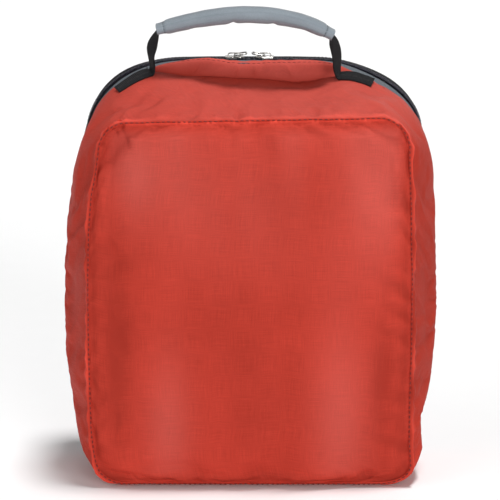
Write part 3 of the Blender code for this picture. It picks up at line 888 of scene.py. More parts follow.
# The coral thread is darker than the cloth it matches: painted shade of the stitch holes.
CORAL_THREAD_PAINTED_SHADE = thread("coral_thread_painted_shade", (0.22, 0.014, 0.009), (0.11, 0.007, 0.005))
ZIP_TAPE = ribbed_tape("grey_zip_tape", (0.15, 0.175, 0.20), (0.075, 0.09, 0.105), 0.0013)
BLACK_TAPE = ribbed_tape("black_binding_tape", (0.030, 0.030, 0.033), (0.010, 0.010, 0.012), 0.0011)
WEBBING = ribbed_tape("black_webbing", (0.011, 0.010, 0.012), (0.004, 0.004, 0.005), 0.0012, 0.00018,
                      sheen=0.02)
BLACK_THREAD = thread("black_thread", (0.030, 0.028, 0.030), (0.010, 0.010, 0.011))
GREY_THREAD = thread("grey_thread", (0.10, 0.12, 0.14), (0.05, 0.06, 0.07))
GRIP = grip_cloth()
NICKEL = polished_metal()
NYLON = grainy("nylon_coil", (0.010, 0.012, 0.022), (0.024, 0.020, 0.040), 500.0, 3.0, (0.35, 0.65),
               (0.22, 0.42), 0.00003, 0.6)
NET = ribbed_tape("black_net", (0.032, 0.032, 0.035), (0.012, 0.012, 0.014), 0.0006, 0.00004)
FOAM = porous("white_foam_cells", (0.80, 0.80, 0.77), (0.62, 0.62, 0.58), 800.0)
LABEL = porous("white_satin_label", (0.82, 0.82, 0.80), (0.70, 0.70, 0.68), 1200.0)


# ---- pieces that follow the shell

def inner_binding(wall, distances):
    """Tape folded over the raw edges of the main seam, inside the bag."""
    shares = np.linspace(4.5 * MM, 10.5 * MM, 5)
    rows = np.interp(shares, distances[:, 0], np.arange(len(wall)))
    normals = resample(wall_normals(wall), rows, 0)
    grid = resample(wall, rows, 0) - 1.8 * MM * normals
    grid[..., 2] = np.maximum(grid[..., 2], 1.2 * MM)
    cloth("main_seam_binding_tape", looped(grid, 1)[:, ::-1], BLACK_TAPE, "bag", "black_binding",
          "main_seam_binding", thickness=0.8 * MM)


def wall_tree(wall):
    rows, columns = wall.shape[:2]
    faces = grid_faces(rows, columns, wrap=True).tolist()
    return BVHTree.FromPolygons([Vector(point) for point in wall.reshape(-1, 3)], faces)


def drop_on(tree, points, lift):
    """Points moved straight down onto the wall, then out by lift along its normal."""
    placed = np.empty_like(points)
    for index in np.ndindex(points.shape[:-1]):
        x, y, _ = points[index]
        hit, normal, _, _ = tree.ray_cast(Vector((x, y, 2 * TOP)), Vector((0, 0, -1)))
        normal = normal if normal.z > 0 else -normal
        placed[index] = hit + normal * (lift[index] if np.ndim(lift) else lift)
    return placed


def anchor_patch(tree, side):
    """Square of tape behind a handle end, inside the bag."""
    low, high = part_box(f"anchor_patch_{side}")
    x, y = np.meshgrid(np.linspace(low.x, high.x, 15), np.linspace(low.y, high.y, 9))
    grid = drop_on(tree, np.stack([x, y, 0 * x], axis=-1), -1.3 * MM)
    cloth(f"anchor_patch_{side}_tape", grid[::-1], BLACK_TAPE, "bag", "black_binding",
          f"anchor_patch_{side}", thickness=0.8 * MM, offset=1.0)


# ---- zipper

COIL_PITCH = 1.25 * MM
COIL_WIRE = 0.33 * MM
TURN_POINTS = 10


def arch_line(y, inset, skip=0.0, step=0.5):
    """Outline at depth y from one base corner over the top to the other."""
    columns = np.arange(CELLS[0] + skip, ROUND - CELLS[0] - skip + 1e-6, step)
    return resample(outline(y, inset), columns, 0, wrap=True)


def tape(half, body, depths, insets):
    """Woven tape beside the zipper chain, with a slight roll at its edge under the coil."""
    grid = np.stack([arch_line(y, inset) for y, inset in zip(depths, insets)])
    order = 1 if depths[-1] > depths[0] else -1
    cloth(f"zipper_tape_{half}_cloth", grid[::order, ::-1], ZIP_TAPE, body, "grey_zipper_tape",
          f"zipper_tape_{half}", thickness=0.5 * MM)


def chain_opening(x):
    """How far each half of the chain stands off the middle line between the two sliders."""
    reach = 0.5 * (SLIDERS["right"].x - SLIDERS["left"].x)
    return 1.0 * MM * (1 - smoothstep(0.45 * reach, 0.95 * reach, np.abs(x - SLIDERS_X)))


def coil_line(sign):
    """Middle line of one half of the chain, evenly spaced."""
    line = arch_line(CHAIN_Y, 0.1 * MM, skip=2.0, step=0.25)
    on_top = line[:, 2] > 0.9 * TOP
    line[:, 1] += sign * (1.30 * MM + chain_opening(line[:, 0]) * on_top)
    run = np.concatenate([[0], np.cumsum(np.linalg.norm(np.diff(line, axis=0), axis=1))])
    count = int(run[-1] / COIL_PITCH * TURN_POINTS)
    at = np.linspace(0, run[-1], count)
    return np.column_stack([np.interp(at, run, line[:, axis]) for axis in range(3)]), at


def outward_of(path, along, middle_z):
    """Unit directions out of the bag, square to a path and to Y."""
    outward = unit(np.cross(along, (0.0, 1.0, 0.0)))
    return outward * np.sign(np.sum(outward * (path - (0, 0, middle_z)), axis=1, keepdims=True))


def coil(half, body, sign):
    """One half of the chain: a nylon monofilament wound in an oval spiral round a thin cord."""
    line, at = coil_line(sign)
    outward = outward_of(line, unit(np.gradient(line, axis=0)), 0.5 * TOP)
    turn = math.tau * at / COIL_PITCH + (math.pi if sign > 0 else 0.0)
    path = line + outward * (0.95 * MM * np.sin(turn))[:, None]
    path[:, 1] -= 1.55 * MM * sign * np.cos(turn)
    parts = [tube_parts(path, COIL_WIRE, sides=6), tube_parts(line[::20], 0.55 * MM)]
    solid(f"zipper_coil_{half}_spiral", parts, NYLON, body, "black_nylon_coil", f"zipper_coil_{half}")


def coil_thread(half, body, sign):
    """Rows of stitches that hold the coil on its tape."""
    line = coil_line(sign)[0][::5] + (0, sign * 0.75 * MM, 0)
    outward = outward_of(line, np.gradient(line, axis=0), 0.5 * TOP)
    parts = stitch_parts(line, outward, 2 * COIL_PITCH, 1.7 * COIL_PITCH, 0.16 * MM, 1.22 * MM)
    solid(f"coil_stitches_{half}", parts, BLACK_THREAD, body, "black_nylon_coil")


def zipper():
    inner = np.array([-2.4, -1.0, 0.6, 2.2, 4.0, 6.0, 8.0, 10.0, 11.4, 12.6]) * MM
    insets = np.array([1.3, 1.1, 0.75, 0.55, 0.6, 0.7, 0.75, 0.85, 1.15, 1.25]) * MM
    tape("body", "bag", BACK_Y + inner, insets)
    tape("lid", "lid", 2 * CHAIN_Y - BACK_Y - inner, insets)
    coil("body", "bag", -1)
    coil("lid", "lid", 1)
    coil_thread("body", "bag", -1)
    coil_thread("lid", "lid", 1)


# ---- sliders and pulls

def prism(outline_points, low, high, bevel):
    """Flat plate from an outline (x, y), with rounded edges, as points and faces."""
    made = bmesh.new()
    floor = [made.verts.new((x, y, low)) for x, y in outline_points]
    face = made.faces.new(floor)
    lifted = bmesh.ops.extrude_face_region(made, geom=[face])
    raised = [item for item in lifted["geom"] if isinstance(item, bmesh.types.BMVert)]
    bmesh.ops.translate(made, verts=raised, vec=(0, 0, high - low))
    bmesh.ops.recalc_face_normals(made, faces=made.faces)
    rims = [edge for edge in made.edges if abs(edge.verts[0].co.z - edge.verts[1].co.z) < 1e-7]
    bmesh.ops.bevel(made, geom=rims, offset=bevel, segments=3, profile=0.5, affect="EDGES")
    made.verts.index_update()
    points = np.array([vertex.co[:] for vertex in made.verts])
    faces = [[vertex.index for vertex in some.verts] for some in made.faces]
    made.free()
    return points, faces


def plate_outline(length, wide, narrow, corner=1.5 * MM):
    """Slider plate seen from above: wide round shoulders at the nose (+x), narrow at the tail."""
    half = length / 2
    upper = []
    for angle in np.linspace(0, 90, 7):
        turn = math.radians(angle)
        upper.append((half - 2.2 * corner * (1 - math.cos(turn)), wide / 2 * math.sin(turn) ** 0.8))
    for share in np.linspace(0.15, 0.9, 8):
        x = half - 2.2 * corner - share * (length - 3.2 * corner)
        upper.append((x, wide / 2 + (narrow - wide) / 2 * smoothstep(0.1, 0.8, share)))
    for angle in np.linspace(0, 90, 6):
        turn = math.radians(angle)
        upper.append((-half + corner * (1 - math.sin(turn)), narrow / 2 - corner * (1 - math.cos(turn))))
    lower = [(x, -y) for x, y in upper[::-1]]
    points = []
    for point in upper + lower:
        if not points or math.dist(points[-1], point) > 0.05 * MM:
            points.append(point)
    if math.dist(points[0], points[-1]) < 0.05 * MM:
        points.pop()
    return points


SLIDER_HALF = 2.5 * MM        # half height of the slider without its bridge
PLATE_THICK = 1.1 * MM


def slider(side):
    """Cast slider: two shaped plates, flanges along their edges, a wedge and an arched bridge."""
    sign = -1 if side == "left" else 1
    low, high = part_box(f"slider_{side}")
    length, wide = high.x - low.x, high.y - low.y
    under, over = -SLIDER_HALF, SLIDER_HALF
    narrow = 0.80 * wide
    plates = plate_outline(length, wide, narrow)
    parts = [prism(plates, over - PLATE_THICK, over, 0.35 * MM),
             prism(plates, under, under + PLATE_THICK, 0.35 * MM)]
    for edge in (-1, 1):
        tail, nose = -0.44 * length, 0.12 * length
        rail = [(tail, narrow / 2 - 0.75 * MM), (nose, wide / 2 - 0.95 * MM),
                (nose, wide / 2 - 0.15 * MM), (tail, narrow / 2 - 0.05 * MM)]
        rail = [(x, edge * y) for x, y in rail][::edge]
        parts.append(prism(rail, 0.6 * MM, over - 0.3 * MM, 0.2 * MM))
        parts.append(prism(rail, under + 0.3 * MM, -0.6 * MM, 0.2 * MM))
    wedge = [(0.47 * length, 0.42 * MM), (0.40 * length, 0.55 * MM), (0.22 * length, 0.12 * MM),
             (0.22 * length, -0.12 * MM), (0.40 * length, -0.55 * MM), (0.47 * length, -0.42 * MM)]
    parts.append(prism(wedge, under + 0.6 * MM, over - 0.6 * MM, 0.1 * MM))
    turns = np.linspace(0, math.pi, 25)
    rise = high.z - low.z - (over - under) - 0.4 * MM
    arch = np.column_stack([-4.5 * MM * signed_power(np.cos(turns), 0.45), 0 * turns,
                            over - 0.5 * MM + (rise + 0.5 * MM) * np.sin(turns) ** 0.4])
    tangents, _, _ = frames_along(arch)
    across = np.tile((0.0, 1.1 * MM, 0.0), (len(arch), 1))
    thick = np.cross(tangents, (0.0, 1.0, 0.0)) * 0.4 * MM
    parts.append(sweep_parts(arch, across, thick, band_section(0.5, 16)))
    points, faces = join_parts(parts)
    points[:, :2] *= -sign
    points += (0.5 * (low.x + high.x), CHAIN_Y, low.z - under)
    made = mesh_object(f"slider_{side}_cast", points, faces, NICKEL)
    made.data.set_sharp_from_angle(angle=math.radians(50))
    put(made, f"slider_{side}", "nickel_plate", f"slider_{side}")


def pull(side):
    """Bent wire loop through the bridge of its slider, as it leans at rest."""
    joint = JOINTS[f"pull_{side}_swing"]
    axis = Vector(joint["axis"]).normalized()
    origin = Vector(joint["pos_m"])
    rest = np.array([vertex.co[:] for vertex in frame["nodes"][f"pull_{side}"].data.vertices]) - origin
    middle = Vector(0.5 * (rest.max(axis=0) + rest.min(axis=0)))
    rise = (middle - axis * middle.dot(axis)).normalized()
    along, up = rest @ np.array(axis), rest @ np.array(rise)
    wire = 0.52 * MM
    half = 0.5 * (along.max() - along.min()) - wire
    low, high = up.min() + wire, up.max() - wire
    turns = np.linspace(0, math.tau, 97)[:-1]
    power = 0.42
    x = half * signed_power(np.cos(turns), power)
    z = 0.5 * (low + high) + 0.5 * (high - low) * signed_power(np.sin(turns), power)
    x *= 1 - 0.10 * (z - low) / (high - low)
    path = np.array(origin) + x[:, None] * np.array(axis) + z[:, None] * np.array(rise)
    solid(f"pull_{side}_wire", [tube_parts(path, wire, sides=12, closed=True)], NICKEL,
          f"pull_{side}", "nickel_plate", f"pull_{side}")


# ---- lid

LID_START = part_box("lid_edge_binding")[0].y
LID_CROWN = LID_HIGH.y - LID_START
LID_MIDDLE_Z = centre("lid_edge_binding").z
LID_SINK = 0.93          # the fabric sits a little inside the crown of the frame's lid
BORDER_OUT, BORDER_IN = 0.975, 0.835
TRIM_OUT, TRIM_IN = 0.852, 0.812
WINDOW_OUT = 0.835
HEX_PITCH = 3.1 * MM
HOLE_SHARES = (0.66, 0.72)        # how much of a cell of the mesh its hole takes, across and up


def bulge(share):
    """Pillow profile: 0 at the edge of the lid (share 1) and 1 at its middle (share 0)."""
    return (1 - np.clip(share, 0, 1) ** 3.2) ** 0.75


def lid_edge(y=LID_EDGE_Y, inset=0.0):
    return resample(outline(y, inset), np.arange(0, ROUND, 0.5), 0, wrap=True)


def lid_point(edge, share, lift=0.0):
    """Points of the lid's surface on rays from its middle, at a share of the way to the edge."""
    points = edge * (1.0, 0.0, 1.0)
    points[..., 2] = LID_MIDDLE_Z + (points[..., 2] - LID_MIDDLE_Z) * share
    points[..., 0] *= share
    points[..., 1] = LID_START + LID_CROWN * bulge(share) * LID_SINK + lift
    return points


def lid_border():
    """Coral border of the lid, gathered along both of its seams."""
    edge = lid_edge()
    shares = np.linspace(BORDER_OUT, BORDER_IN, 15)
    grid = np.stack([lid_point(edge, share) for share in shares])
    run = along_rows(grid)[:1] + 0 * grid[..., 0]
    across = along_columns(grid)
    far = across[-1:] - across
    lift = -0.9 * MM * pucker_wave(run - 0.4 * across, 31, 8 * MM) * np.exp(-across / (5 * MM))
    lift -= 0.8 * MM * pucker_wave(run + 0.4 * far, 32, 9 * MM) * np.exp(-far / (5 * MM))
    lift += 0.9 * MM * np.sin(math.pi * across / across[-1:]) + 0.2 * MM * wave_noise(grid, 90.0, seed=6)
    normals = grid_normals(grid, wrap=True)
    grid += normals * np.sign(normals[..., 1:2]) * lift[..., None]
    cloth("lid_border_cloth", looped(grid, 1)[::-1], CORAL, "lid", "coral_taffeta", "lid_border")


def band_section(power=0.35, count=20):
    """Closed rounded section from -1 to 1 both ways; a small power makes it squarer."""
    around = np.linspace(0, math.tau, count + 1)[:-1]
    return signed_power(np.column_stack([np.cos(around), np.sin(around)]), power)


def swept_ring(name, path, wide, thick, section, node):
    """Black tape of a section swept round the lid, with cloth coordinates."""
    grid = looped(looped(swept(path, wide, thick, section), 1)).transpose(1, 0, 2)
    made = grid_object(name, grid, BLACK_TAPE)
    weld(made)
    put(made, "lid", "black_binding", node)


def lid_trim():
    """Black tape folded over the edge of the mesh window."""
    edge = lid_edge()
    inner, outer = lid_point(edge, TRIM_IN), lid_point(edge, TRIM_OUT)
    path = 0.5 * (inner + outer)
    wide = 0.5 * (outer - inner)
    normal = unit(np.cross(round_steps(path), wide))
    normal *= np.sign(normal[:, 1:2])
    path = path + 0.25 * MM * normal
    swept_ring("lid_window_trim_tape", path, wide, 1.15 * MM * normal, band_section(), "lid_window_trim")
    line, normal = looped(path + 0.55 * wide), looped(normal)
    parts = stitch_parts(line, normal, 3.0 * MM, 2.2 * MM, 0.2 * MM, 1.08 * MM)
    solid("window_trim_stitches", parts, BLACK_THREAD, "lid", "black_binding")


def lid_binding():
    """Black piping that wraps the edge where the lid meets its zipper tape."""
    path = lid_edge(LID_EDGE_Y + 1.2 * MM, 0.9 * MM)
    along = round_steps(path)
    outward = outward_of(path, along, LID_MIDDLE_Z)
    back = unit(np.array((0.0, 1.0, 0.0)) - 0.5 * outward)
    lift = unit(np.cross(along, back))
    lift *= np.sign(np.sum(lift * outward, axis=1, keepdims=True))
    swept_ring("lid_edge_binding_tape", path, 3.1 * MM * back, 1.1 * MM * lift, band_section(0.55),
               "lid_edge_binding")
    line, lift = looped(path + 1.9 * MM * back), looped(lift)
    parts = stitch_parts(line, lift, 3.2 * MM, 2.4 * MM, 0.2 * MM, 0.95 * MM)
    solid("edge_binding_stitches", parts, BLACK_THREAD, "lid", "black_binding")


def lid_window():
    """Knitted mesh window: hexagonal holes between real strands, laid over the crown of the lid."""
    edge = lid_edge()
    angles = np.arctan2(edge[:, 2] - LID_MIDDLE_Z, edge[:, 0])
    reach = np.hypot(edge[:, 0], edge[:, 2] - LID_MIDDLE_Z)
    order = np.argsort(angles)
    angles, reach = angles[order], reach[order]

    def share_of(x, z):
        turn = np.arctan2(z, x)
        return np.hypot(x, z) / np.interp(turn, angles, reach, period=math.tau)

    size = HEX_PITCH / 3 ** 0.5
    column, row = np.meshgrid(np.arange(-60, 61), np.arange(-60, 61), indexing="ij")
    x = (HEX_PITCH * (column + 0.5 * (row % 2))).ravel()
    z = (1.5 * size * row).ravel()
    keep = share_of(x, z) < WINDOW_OUT - 0.004
    x, z = x[keep], z[keep]
    turns = math.radians(30) + np.arange(6) * math.pi / 3
    middles, corners = np.column_stack([x, z])[:, None], np.column_stack([np.cos(turns), np.sin(turns)])
    rim = middles + size * corners
    hole = middles + size * corners * HOLE_SHARES
    keys = np.round(rim.reshape(-1, 2) / (0.05 * MM)).astype(int)
    _, first, which = np.unique(keys, axis=0, return_index=True, return_inverse=True)
    shared = rim.reshape(-1, 2)[first]
    which = which.reshape(-1, 6)
    flat = np.concatenate([shared, hole.reshape(-1, 2)])
    inner = len(shared) + np.arange(len(x) * 6).reshape(-1, 6)
    faces = np.stack([which, np.roll(which, -1, axis=1), np.roll(inner, -1, axis=1), inner], axis=-1)
    share = share_of(flat[:, 0], flat[:, 1])
    sag = 0.5 * MM * wave_noise(flat, 45.0, seed=9)
    y = LID_START + LID_CROWN * bulge(share) * LID_SINK + sag * smoothstep(0.84, 0.6, share)
    points = np.column_stack([flat[:, 0], y, flat[:, 1] + LID_MIDDLE_Z])
    points[len(shared):, 1] += 0.02 * MM
    made = mesh_object("lid_mesh_net", points, faces.reshape(-1, 4)[:, ::-1], NET, flat)
    thicken(made, 0.45 * MM)
    put(made, "lid", "black_mesh", "lid_mesh")


def hinge_cloth():
    """Strip of the base that carries on up into the lid, in a quarter round bend at the hinge."""
    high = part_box("hinge_strip")[1]
    x, turns = np.meshgrid(np.linspace(-BASE_HALF, BASE_HALF, 97), np.linspace(0, math.pi / 2, 15))
    y = HINGE_EDGE_Y - 0.4 * MM + (high.y - HINGE_EDGE_Y + 0.7 * MM) * np.sin(turns)
    z = (high.z + 0.6 * MM) * (1 - np.cos(turns))
    grid = np.stack([x, y, z], axis=-1)
    sway = 0.25 * MM * wave_noise(grid, 120.0, seed=12) * np.sin(2 * turns)
    grid[..., 1] -= np.abs(sway)
    made = grid_object("hinge_strip_cloth", grid[:, ::-1], CORAL, thickness=FABRIC)
    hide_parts("hinge_strip")
    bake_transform(made)


# ---- handle

GRIP_LOW, GRIP_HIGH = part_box("handle_grip_cover")
HANDLE_X, HANDLE_Y, _ = centre("handle_grip_cover")
GRIP_HALF_WIDTH = 0.5 * (GRIP_HIGH.y - GRIP_LOW.y)
GRIP_END = 60.0 * MM          # half length of the grip
GRIP_TOP = GRIP_HIGH.z - 5.8 * MM
GRIP_STITCH = 0.915           # where the end stitches are, as a share of the half length
# Folds on the underside of the grip: place along it, depth and width, in millimetres.
GRIP_PINCHES = ((-9.5, 1.3, 2.4), (19, 1.1, 2.6), (-36, 0.4, 4.0), (41, 0.4, 4.0))
GRIP_FALLS = (1.4 * MM, -12.0 * MM, -3.4 * MM)   # first, second and third order fall of the middle line
STRAP_WIDTH = 10.0 * MM
STRAP_THICK = 1.3 * MM
ROOT_HALF = 63.0 * MM
ROOT_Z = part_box("handle_webbing")[0].z


def grip_line(share):
    """Middle line of the grip and its upward normal; share runs from -1 to 1."""
    share = np.asarray(share, dtype=float)
    one, two, three = GRIP_FALLS
    height = GRIP_TOP + one * share + two * share ** 2 + three * share ** 3
    line = np.stack([HANDLE_X + GRIP_END * share, HANDLE_Y + 0 * share, height], axis=-1)
    slope = (one + 2 * two * share + 3 * three * share ** 2) / GRIP_END
    along = np.stack([1 + 0 * share, 0 * share, slope], axis=-1)
    along = unit(along)
    return line, np.stack([-along[..., 2], 0 * share, along[..., 0]], axis=-1)


def grip_cover():
    """Coated cloth sewn round foam: soft oval, flattened at its stitched ends, creased below."""
    shares = np.linspace(-1, 1, 241)
    line, up = grip_line(shares)
    around = np.linspace(0, math.tau, 73)
    ends = smoothstep(0.86, 0.97, np.abs(shares))
    tall = (5.75 - 1.3 * shares ** 2) * (1 - ends) + 3.5 * ends
    wide = 1000 * GRIP_HALF_WIDTH * (1 - 0.04 * ends)
    x, z = np.cos(around)[None], np.sin(around)[None]
    power = (0.88 - 0.28 * ends)[:, None]
    across = (wide * MM)[:, None] * signed_power(x, power)
    height = (tall * MM)[:, None] * signed_power(z, power * 0.95)
    front = np.clip(-x, 0, 1)
    ribs = 0.30 * bump(z, 0.42, 0.09) + 0.30 * bump(z, -0.28, 0.09) - 0.25 * bump(z, 0.08, 0.2)
    swell = 1 + 0.05 * ribs * front * (1 - ends)[:, None]
    run = shares[:, None] * GRIP_END
    pinch = np.zeros_like(across)
    for at, deep, size in GRIP_PINCHES:
        pinch += deep * MM * bump(run + 2.5 * MM * x, at * MM, size * MM) * np.clip(-z, 0, 1) ** 1.5
    groove = 0.55 * MM * bump(np.abs(shares), GRIP_STITCH, 0.012)[:, None]
    wrinkle = 0.16 * MM * wave_noise(np.stack([run + 0 * x, across, height], axis=-1), 150.0, seed=14)
    scale = swell + (wrinkle - groove - pinch) / np.hypot(across, height).clip(1 * MM)
    grid = line[:, None] + up[:, None] * (height * scale)[..., None]
    grid[..., 1] += across * scale
    made = grid_object("handle_grip_cover_cloth", grid, GRIP, thickness=0.7 * MM)
    # Painted shade along the two ridges of the front and a painted highlight between them; the colour is
    # also deeper towards the top and bottom.
    tone = 0.28 * (bump(z, 0.42, 0.07) + bump(z, -0.28, 0.07)) * front - 0.25 * bump(z, 0.1, 0.22) * front
    edge = 0.35 * smoothstep(0.75, 1.0, np.abs(z))
    set_values(made, "tone", tone + edge + 0 * across)
    weld(made)
    put(made, "handle", "grey_grip_fabric", "handle_grip_cover")
    parts = []
    for sign in (-1, 1):
        index = int(np.argmin(np.abs(shares - sign * GRIP_STITCH)))
        outward = unit(grid[index] - line[index])
        parts += stitch_parts(grid[index], outward, 2.4 * MM, 1.9 * MM, 0.24 * MM, 0.2 * MM)
    solid("grip_end_stitches", parts, GREY_THREAD, "handle", "grey_grip_fabric")


def riser(sign):
    """One free end of the strap between the grip and the gusset: points, and the way its width lies."""
    top, _ = grip_line(sign * 0.985)
    shares = np.linspace(0, 1, 41)
    root_x = HANDLE_X + sign * ROOT_HALF
    out = (2.4 if sign < 0 else 1.0) * MM * np.sin(math.pi * shares) ** 1.3
    x = root_x + (top[0] - root_x) * shares ** 1.4 + sign * out
    z = ROOT_Z + (top[2] - 1.2 * MM - ROOT_Z) * shares
    y = HANDLE_Y + 0.8 * MM * np.sin(math.pi * shares)
    turns = (20, 24, 42, 24, 5) if sign < 0 else (30, 36, 42, 34, 14)
    twist = np.radians(spline(shares, np.array([0, 0.3, 0.6, 0.85, 1.0]), np.array(turns, dtype=float)))
    wide = np.column_stack([sign * np.sin(twist), np.cos(twist), 0 * twist])
    return np.column_stack([x, y, z]), wide


def strap(tree):
    """The webbing: sewn down at both ends, twisted up to the grip and through it, as one strap."""
    pieces = []
    tail = 22.5 * MM
    for sign, slant in ((-1, 0.30), (1, 0.14)):
        line, turned = riser(sign)
        root = line[0]
        out = np.linspace(tail + 2 * MM, 2.0 * MM, 17)
        flat = np.column_stack([root[0] + sign * out, HANDLE_Y - slant * out, np.zeros(17)])
        square = 0.42 * STRAP_WIDTH * np.array((sign * slant, 1.0, 0.0))
        fore, aft = drop_on(tree, flat - square, 0.9 * MM), drop_on(tree, flat + square, 2.4 * MM)
        lying = np.maximum(drop_on(tree, flat, 1.0 * MM), 0.5 * (fore + aft))
        lying[:, :2] = flat[:, :2]
        resting = aft - fore
        corner = np.array((root[0] + sign * 0.4 * MM, HANDLE_Y, lying[-1][2] + 0.3 * MM))
        share = np.linspace(0, 1, 9)[1:-1, None]
        bend = (1 - share) ** 2 * lying[-1] + 2 * share * (1 - share) * corner + share ** 2 * line[3]
        turning = (1 - share) * unit(resting[-1]) + share * turned[3]
        points = np.concatenate([lying, bend, line[3:]])
        pieces.append((points, np.concatenate([resting, turning, turned[3:]])))
    inner, up = grip_line(np.linspace(-0.96, 0.96, 61))
    inner = inner - up * 1.2 * MM
    left, right = pieces
    path = np.concatenate([left[0], inner, right[0][::-1]])
    level = np.tile((0.0, 1.0, 0.0), (len(inner), 1))
    wide = np.concatenate([left[1], level, right[1][::-1]])
    tangents = unit(np.gradient(path, axis=0))
    wide = unit(wide - tangents * np.sum(wide * tangents, axis=1, keepdims=True))
    thick = np.cross(tangents, wide)
    grid = swept(path, 0.5 * STRAP_WIDTH * wide, 0.5 * STRAP_THICK * thick, band_section(0.3, 28))
    made = grid_object("handle_webbing_strap", looped(grid, 1).transpose(1, 0, 2), WEBBING)
    weld(made, cap=True)
    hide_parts("handle_webbing", "handle_tail_left", "handle_tail_right")
    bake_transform(made)
    return left[0][:17], right[0][:17]


def tail_stitches(tails):
    """Lines of stitches that hold the strap's ends on the gusset."""
    parts = []
    up = np.tile((0.0, 0.0, 1.0), (17, 1))
    for line in tails:
        for shift in (-3.6, 3.6):
            parts += stitch_parts(line + (0, shift * MM, 0), up, 2.6 * MM, 2.0 * MM, 0.2 * MM, 0.72 * MM)
        for index in (1, 14):
            across = np.linspace(-3.6, 3.6, 9) * MM
            cross_line = line[index] + np.column_stack([0 * across, across, 0 * across])
            parts += stitch_parts(cross_line, up[:9], 2.2 * MM, 1.8 * MM, 0.2 * MM, 0.72 * MM)
    solid("strap_end_stitches", parts, BLACK_THREAD, "bag", "black_webbing")


def loose_thread():
    """Frayed thread at the left root of the handle."""
    root = np.array((HANDLE_X - ROOT_HALF - 2.4 * MM, HANDLE_Y - 4 * MM, ROOT_Z - 1.0 * MM))
    steps = np.array([(0, 0, 0), (-1.2, -0.6, 1.5), (-1.6, -0.8, 3.4), (-2.6, -1.0, 5.0), (-2.2, -1.4, 6.8)])
    at = np.linspace(0, 4, 25)
    path = root + MM * np.column_stack([spline(at, np.arange(5.0), column) for column in steps.T])
    solid("loose_thread", [tube_parts(path, 0.22 * MM, sides=6)], BLACK_THREAD, "bag", "black_webbing")


# ---- studio

FLOOR_SIZE = 40.0
FLOOR_SHADE = 0.93
AMBIENT = 0.12
# Soft distant lights: where each comes from, its strength and how many degrees wide it is.
SUNS = {
    "top_light": ((0.15, -0.02, 1.0), 2.35, 12),
    "front_light": ((0.45, -1.0, 0.26), 1.65, 28),
    "left_light": ((-1.0, -0.6, 0.7), 0.6, 50),
    "back_light": ((0.2, 1.0, 0.5), 0.5, 50),
}


def floor(shade):
    look = Look("floor", roughness=0.85, specular=0.1)
    grain = look.noise(look.place(), 40.0, 3.0)
    look.colour(look.mix(grain, (shade,) * 3, (0.985 * shade,) * 3))
    half = FLOOR_SIZE / 2
    corners = [(-half, -half, 0), (half, -half, 0), (half, half, 0), (-half, half, 0)]
    mesh_object("floor", corners, [(0, 1, 2, 3)], look.material, smooth=False)


def studio():
    """Pale floor, pale surroundings, a soft light from above and weaker ones from front and back."""
    scene = bpy.context.scene
    floor(FLOOR_SHADE)
    world = bpy.data.worlds.new("studio")
    world.use_nodes = True
    background = world.node_tree.nodes["Background"]
    background.inputs["Color"].default_value = (1, 1, 1, 1)
    background.inputs["Strength"].default_value = AMBIENT
    scene.world = world
    for name, (direction, strength, softness) in SUNS.items():
        light = bpy.data.lights.new(name, "SUN")
        light.energy = strength
        light.angle = math.radians(softness)
        made = bpy.data.objects.new(name, light)
        made.rotation_euler = Vector(direction).to_track_quat("Z", "Y").to_euler()
        scene.collection.objects.link(made)
    scene.view_settings.view_transform = "Standard"


# The camera: sensor and lens in millimetres, distance, height aimed at, and tilt in degrees.
SENSOR, LENS = 36.0, 165.0
CAMERA_DISTANCE = 1.6
TARGET_Z = 0.1564
TILT = 14


def camera():
    """Camera a little above the bag, looking at its plain side."""
    scene = bpy.context.scene
    lens = bpy.data.cameras.new("camera")
    lens.sensor_width = SENSOR
    lens.lens = LENS
    made = bpy.data.objects.new("camera", lens)
    target = Vector((0, 0, TARGET_Z))
    tilt = math.radians(TILT)
    made.location = target + CAMERA_DISTANCE * Vector((0, -math.cos(tilt), math.sin(tilt)))
    made.rotation_euler = (target - made.location).to_track_quat("-Z", "Y").to_euler()
    scene.collection.objects.link(made)
    scene.camera = made


# ---- assembly

# Painted light and shade on the loose cloth of the panel, as soft patches: middle (x, z) and
# half size in millimetres, then how much deeper its colour is (painted shade) and how much paler its gleam
# (painted sheen).
PAINTED_LIGHT_PATCHES = (
    ((-76, 222), (14, 24), -0.08, 0.026),
    ((-90, 100), (9, 62), 0.42, 0.0),
    ((-56, 44), (15, 52), -0.06, 0.036),
    ((-4, 80), (32, 75), 0.18, 0.0),
    ((62, 52), (18, 68), -0.10, 0.038),
    ((90, 82), (8, 38), 0.34, 0.0),
    ((80, 208), (20, 50), -0.16, 0.024),
)


def painted_light_patches(x, z):
    tone, gleam = np.zeros_like(x), np.zeros_like(x)
    for (middle_x, middle_z), (wide, tall), deeper, paler in PAINTED_LIGHT_PATCHES:
        patch = bump(x, middle_x * MM, wide * MM) * bump(z, middle_z * MM, tall * MM)
        tone += deeper * patch
        gleam += paler * patch
    return tone, gleam


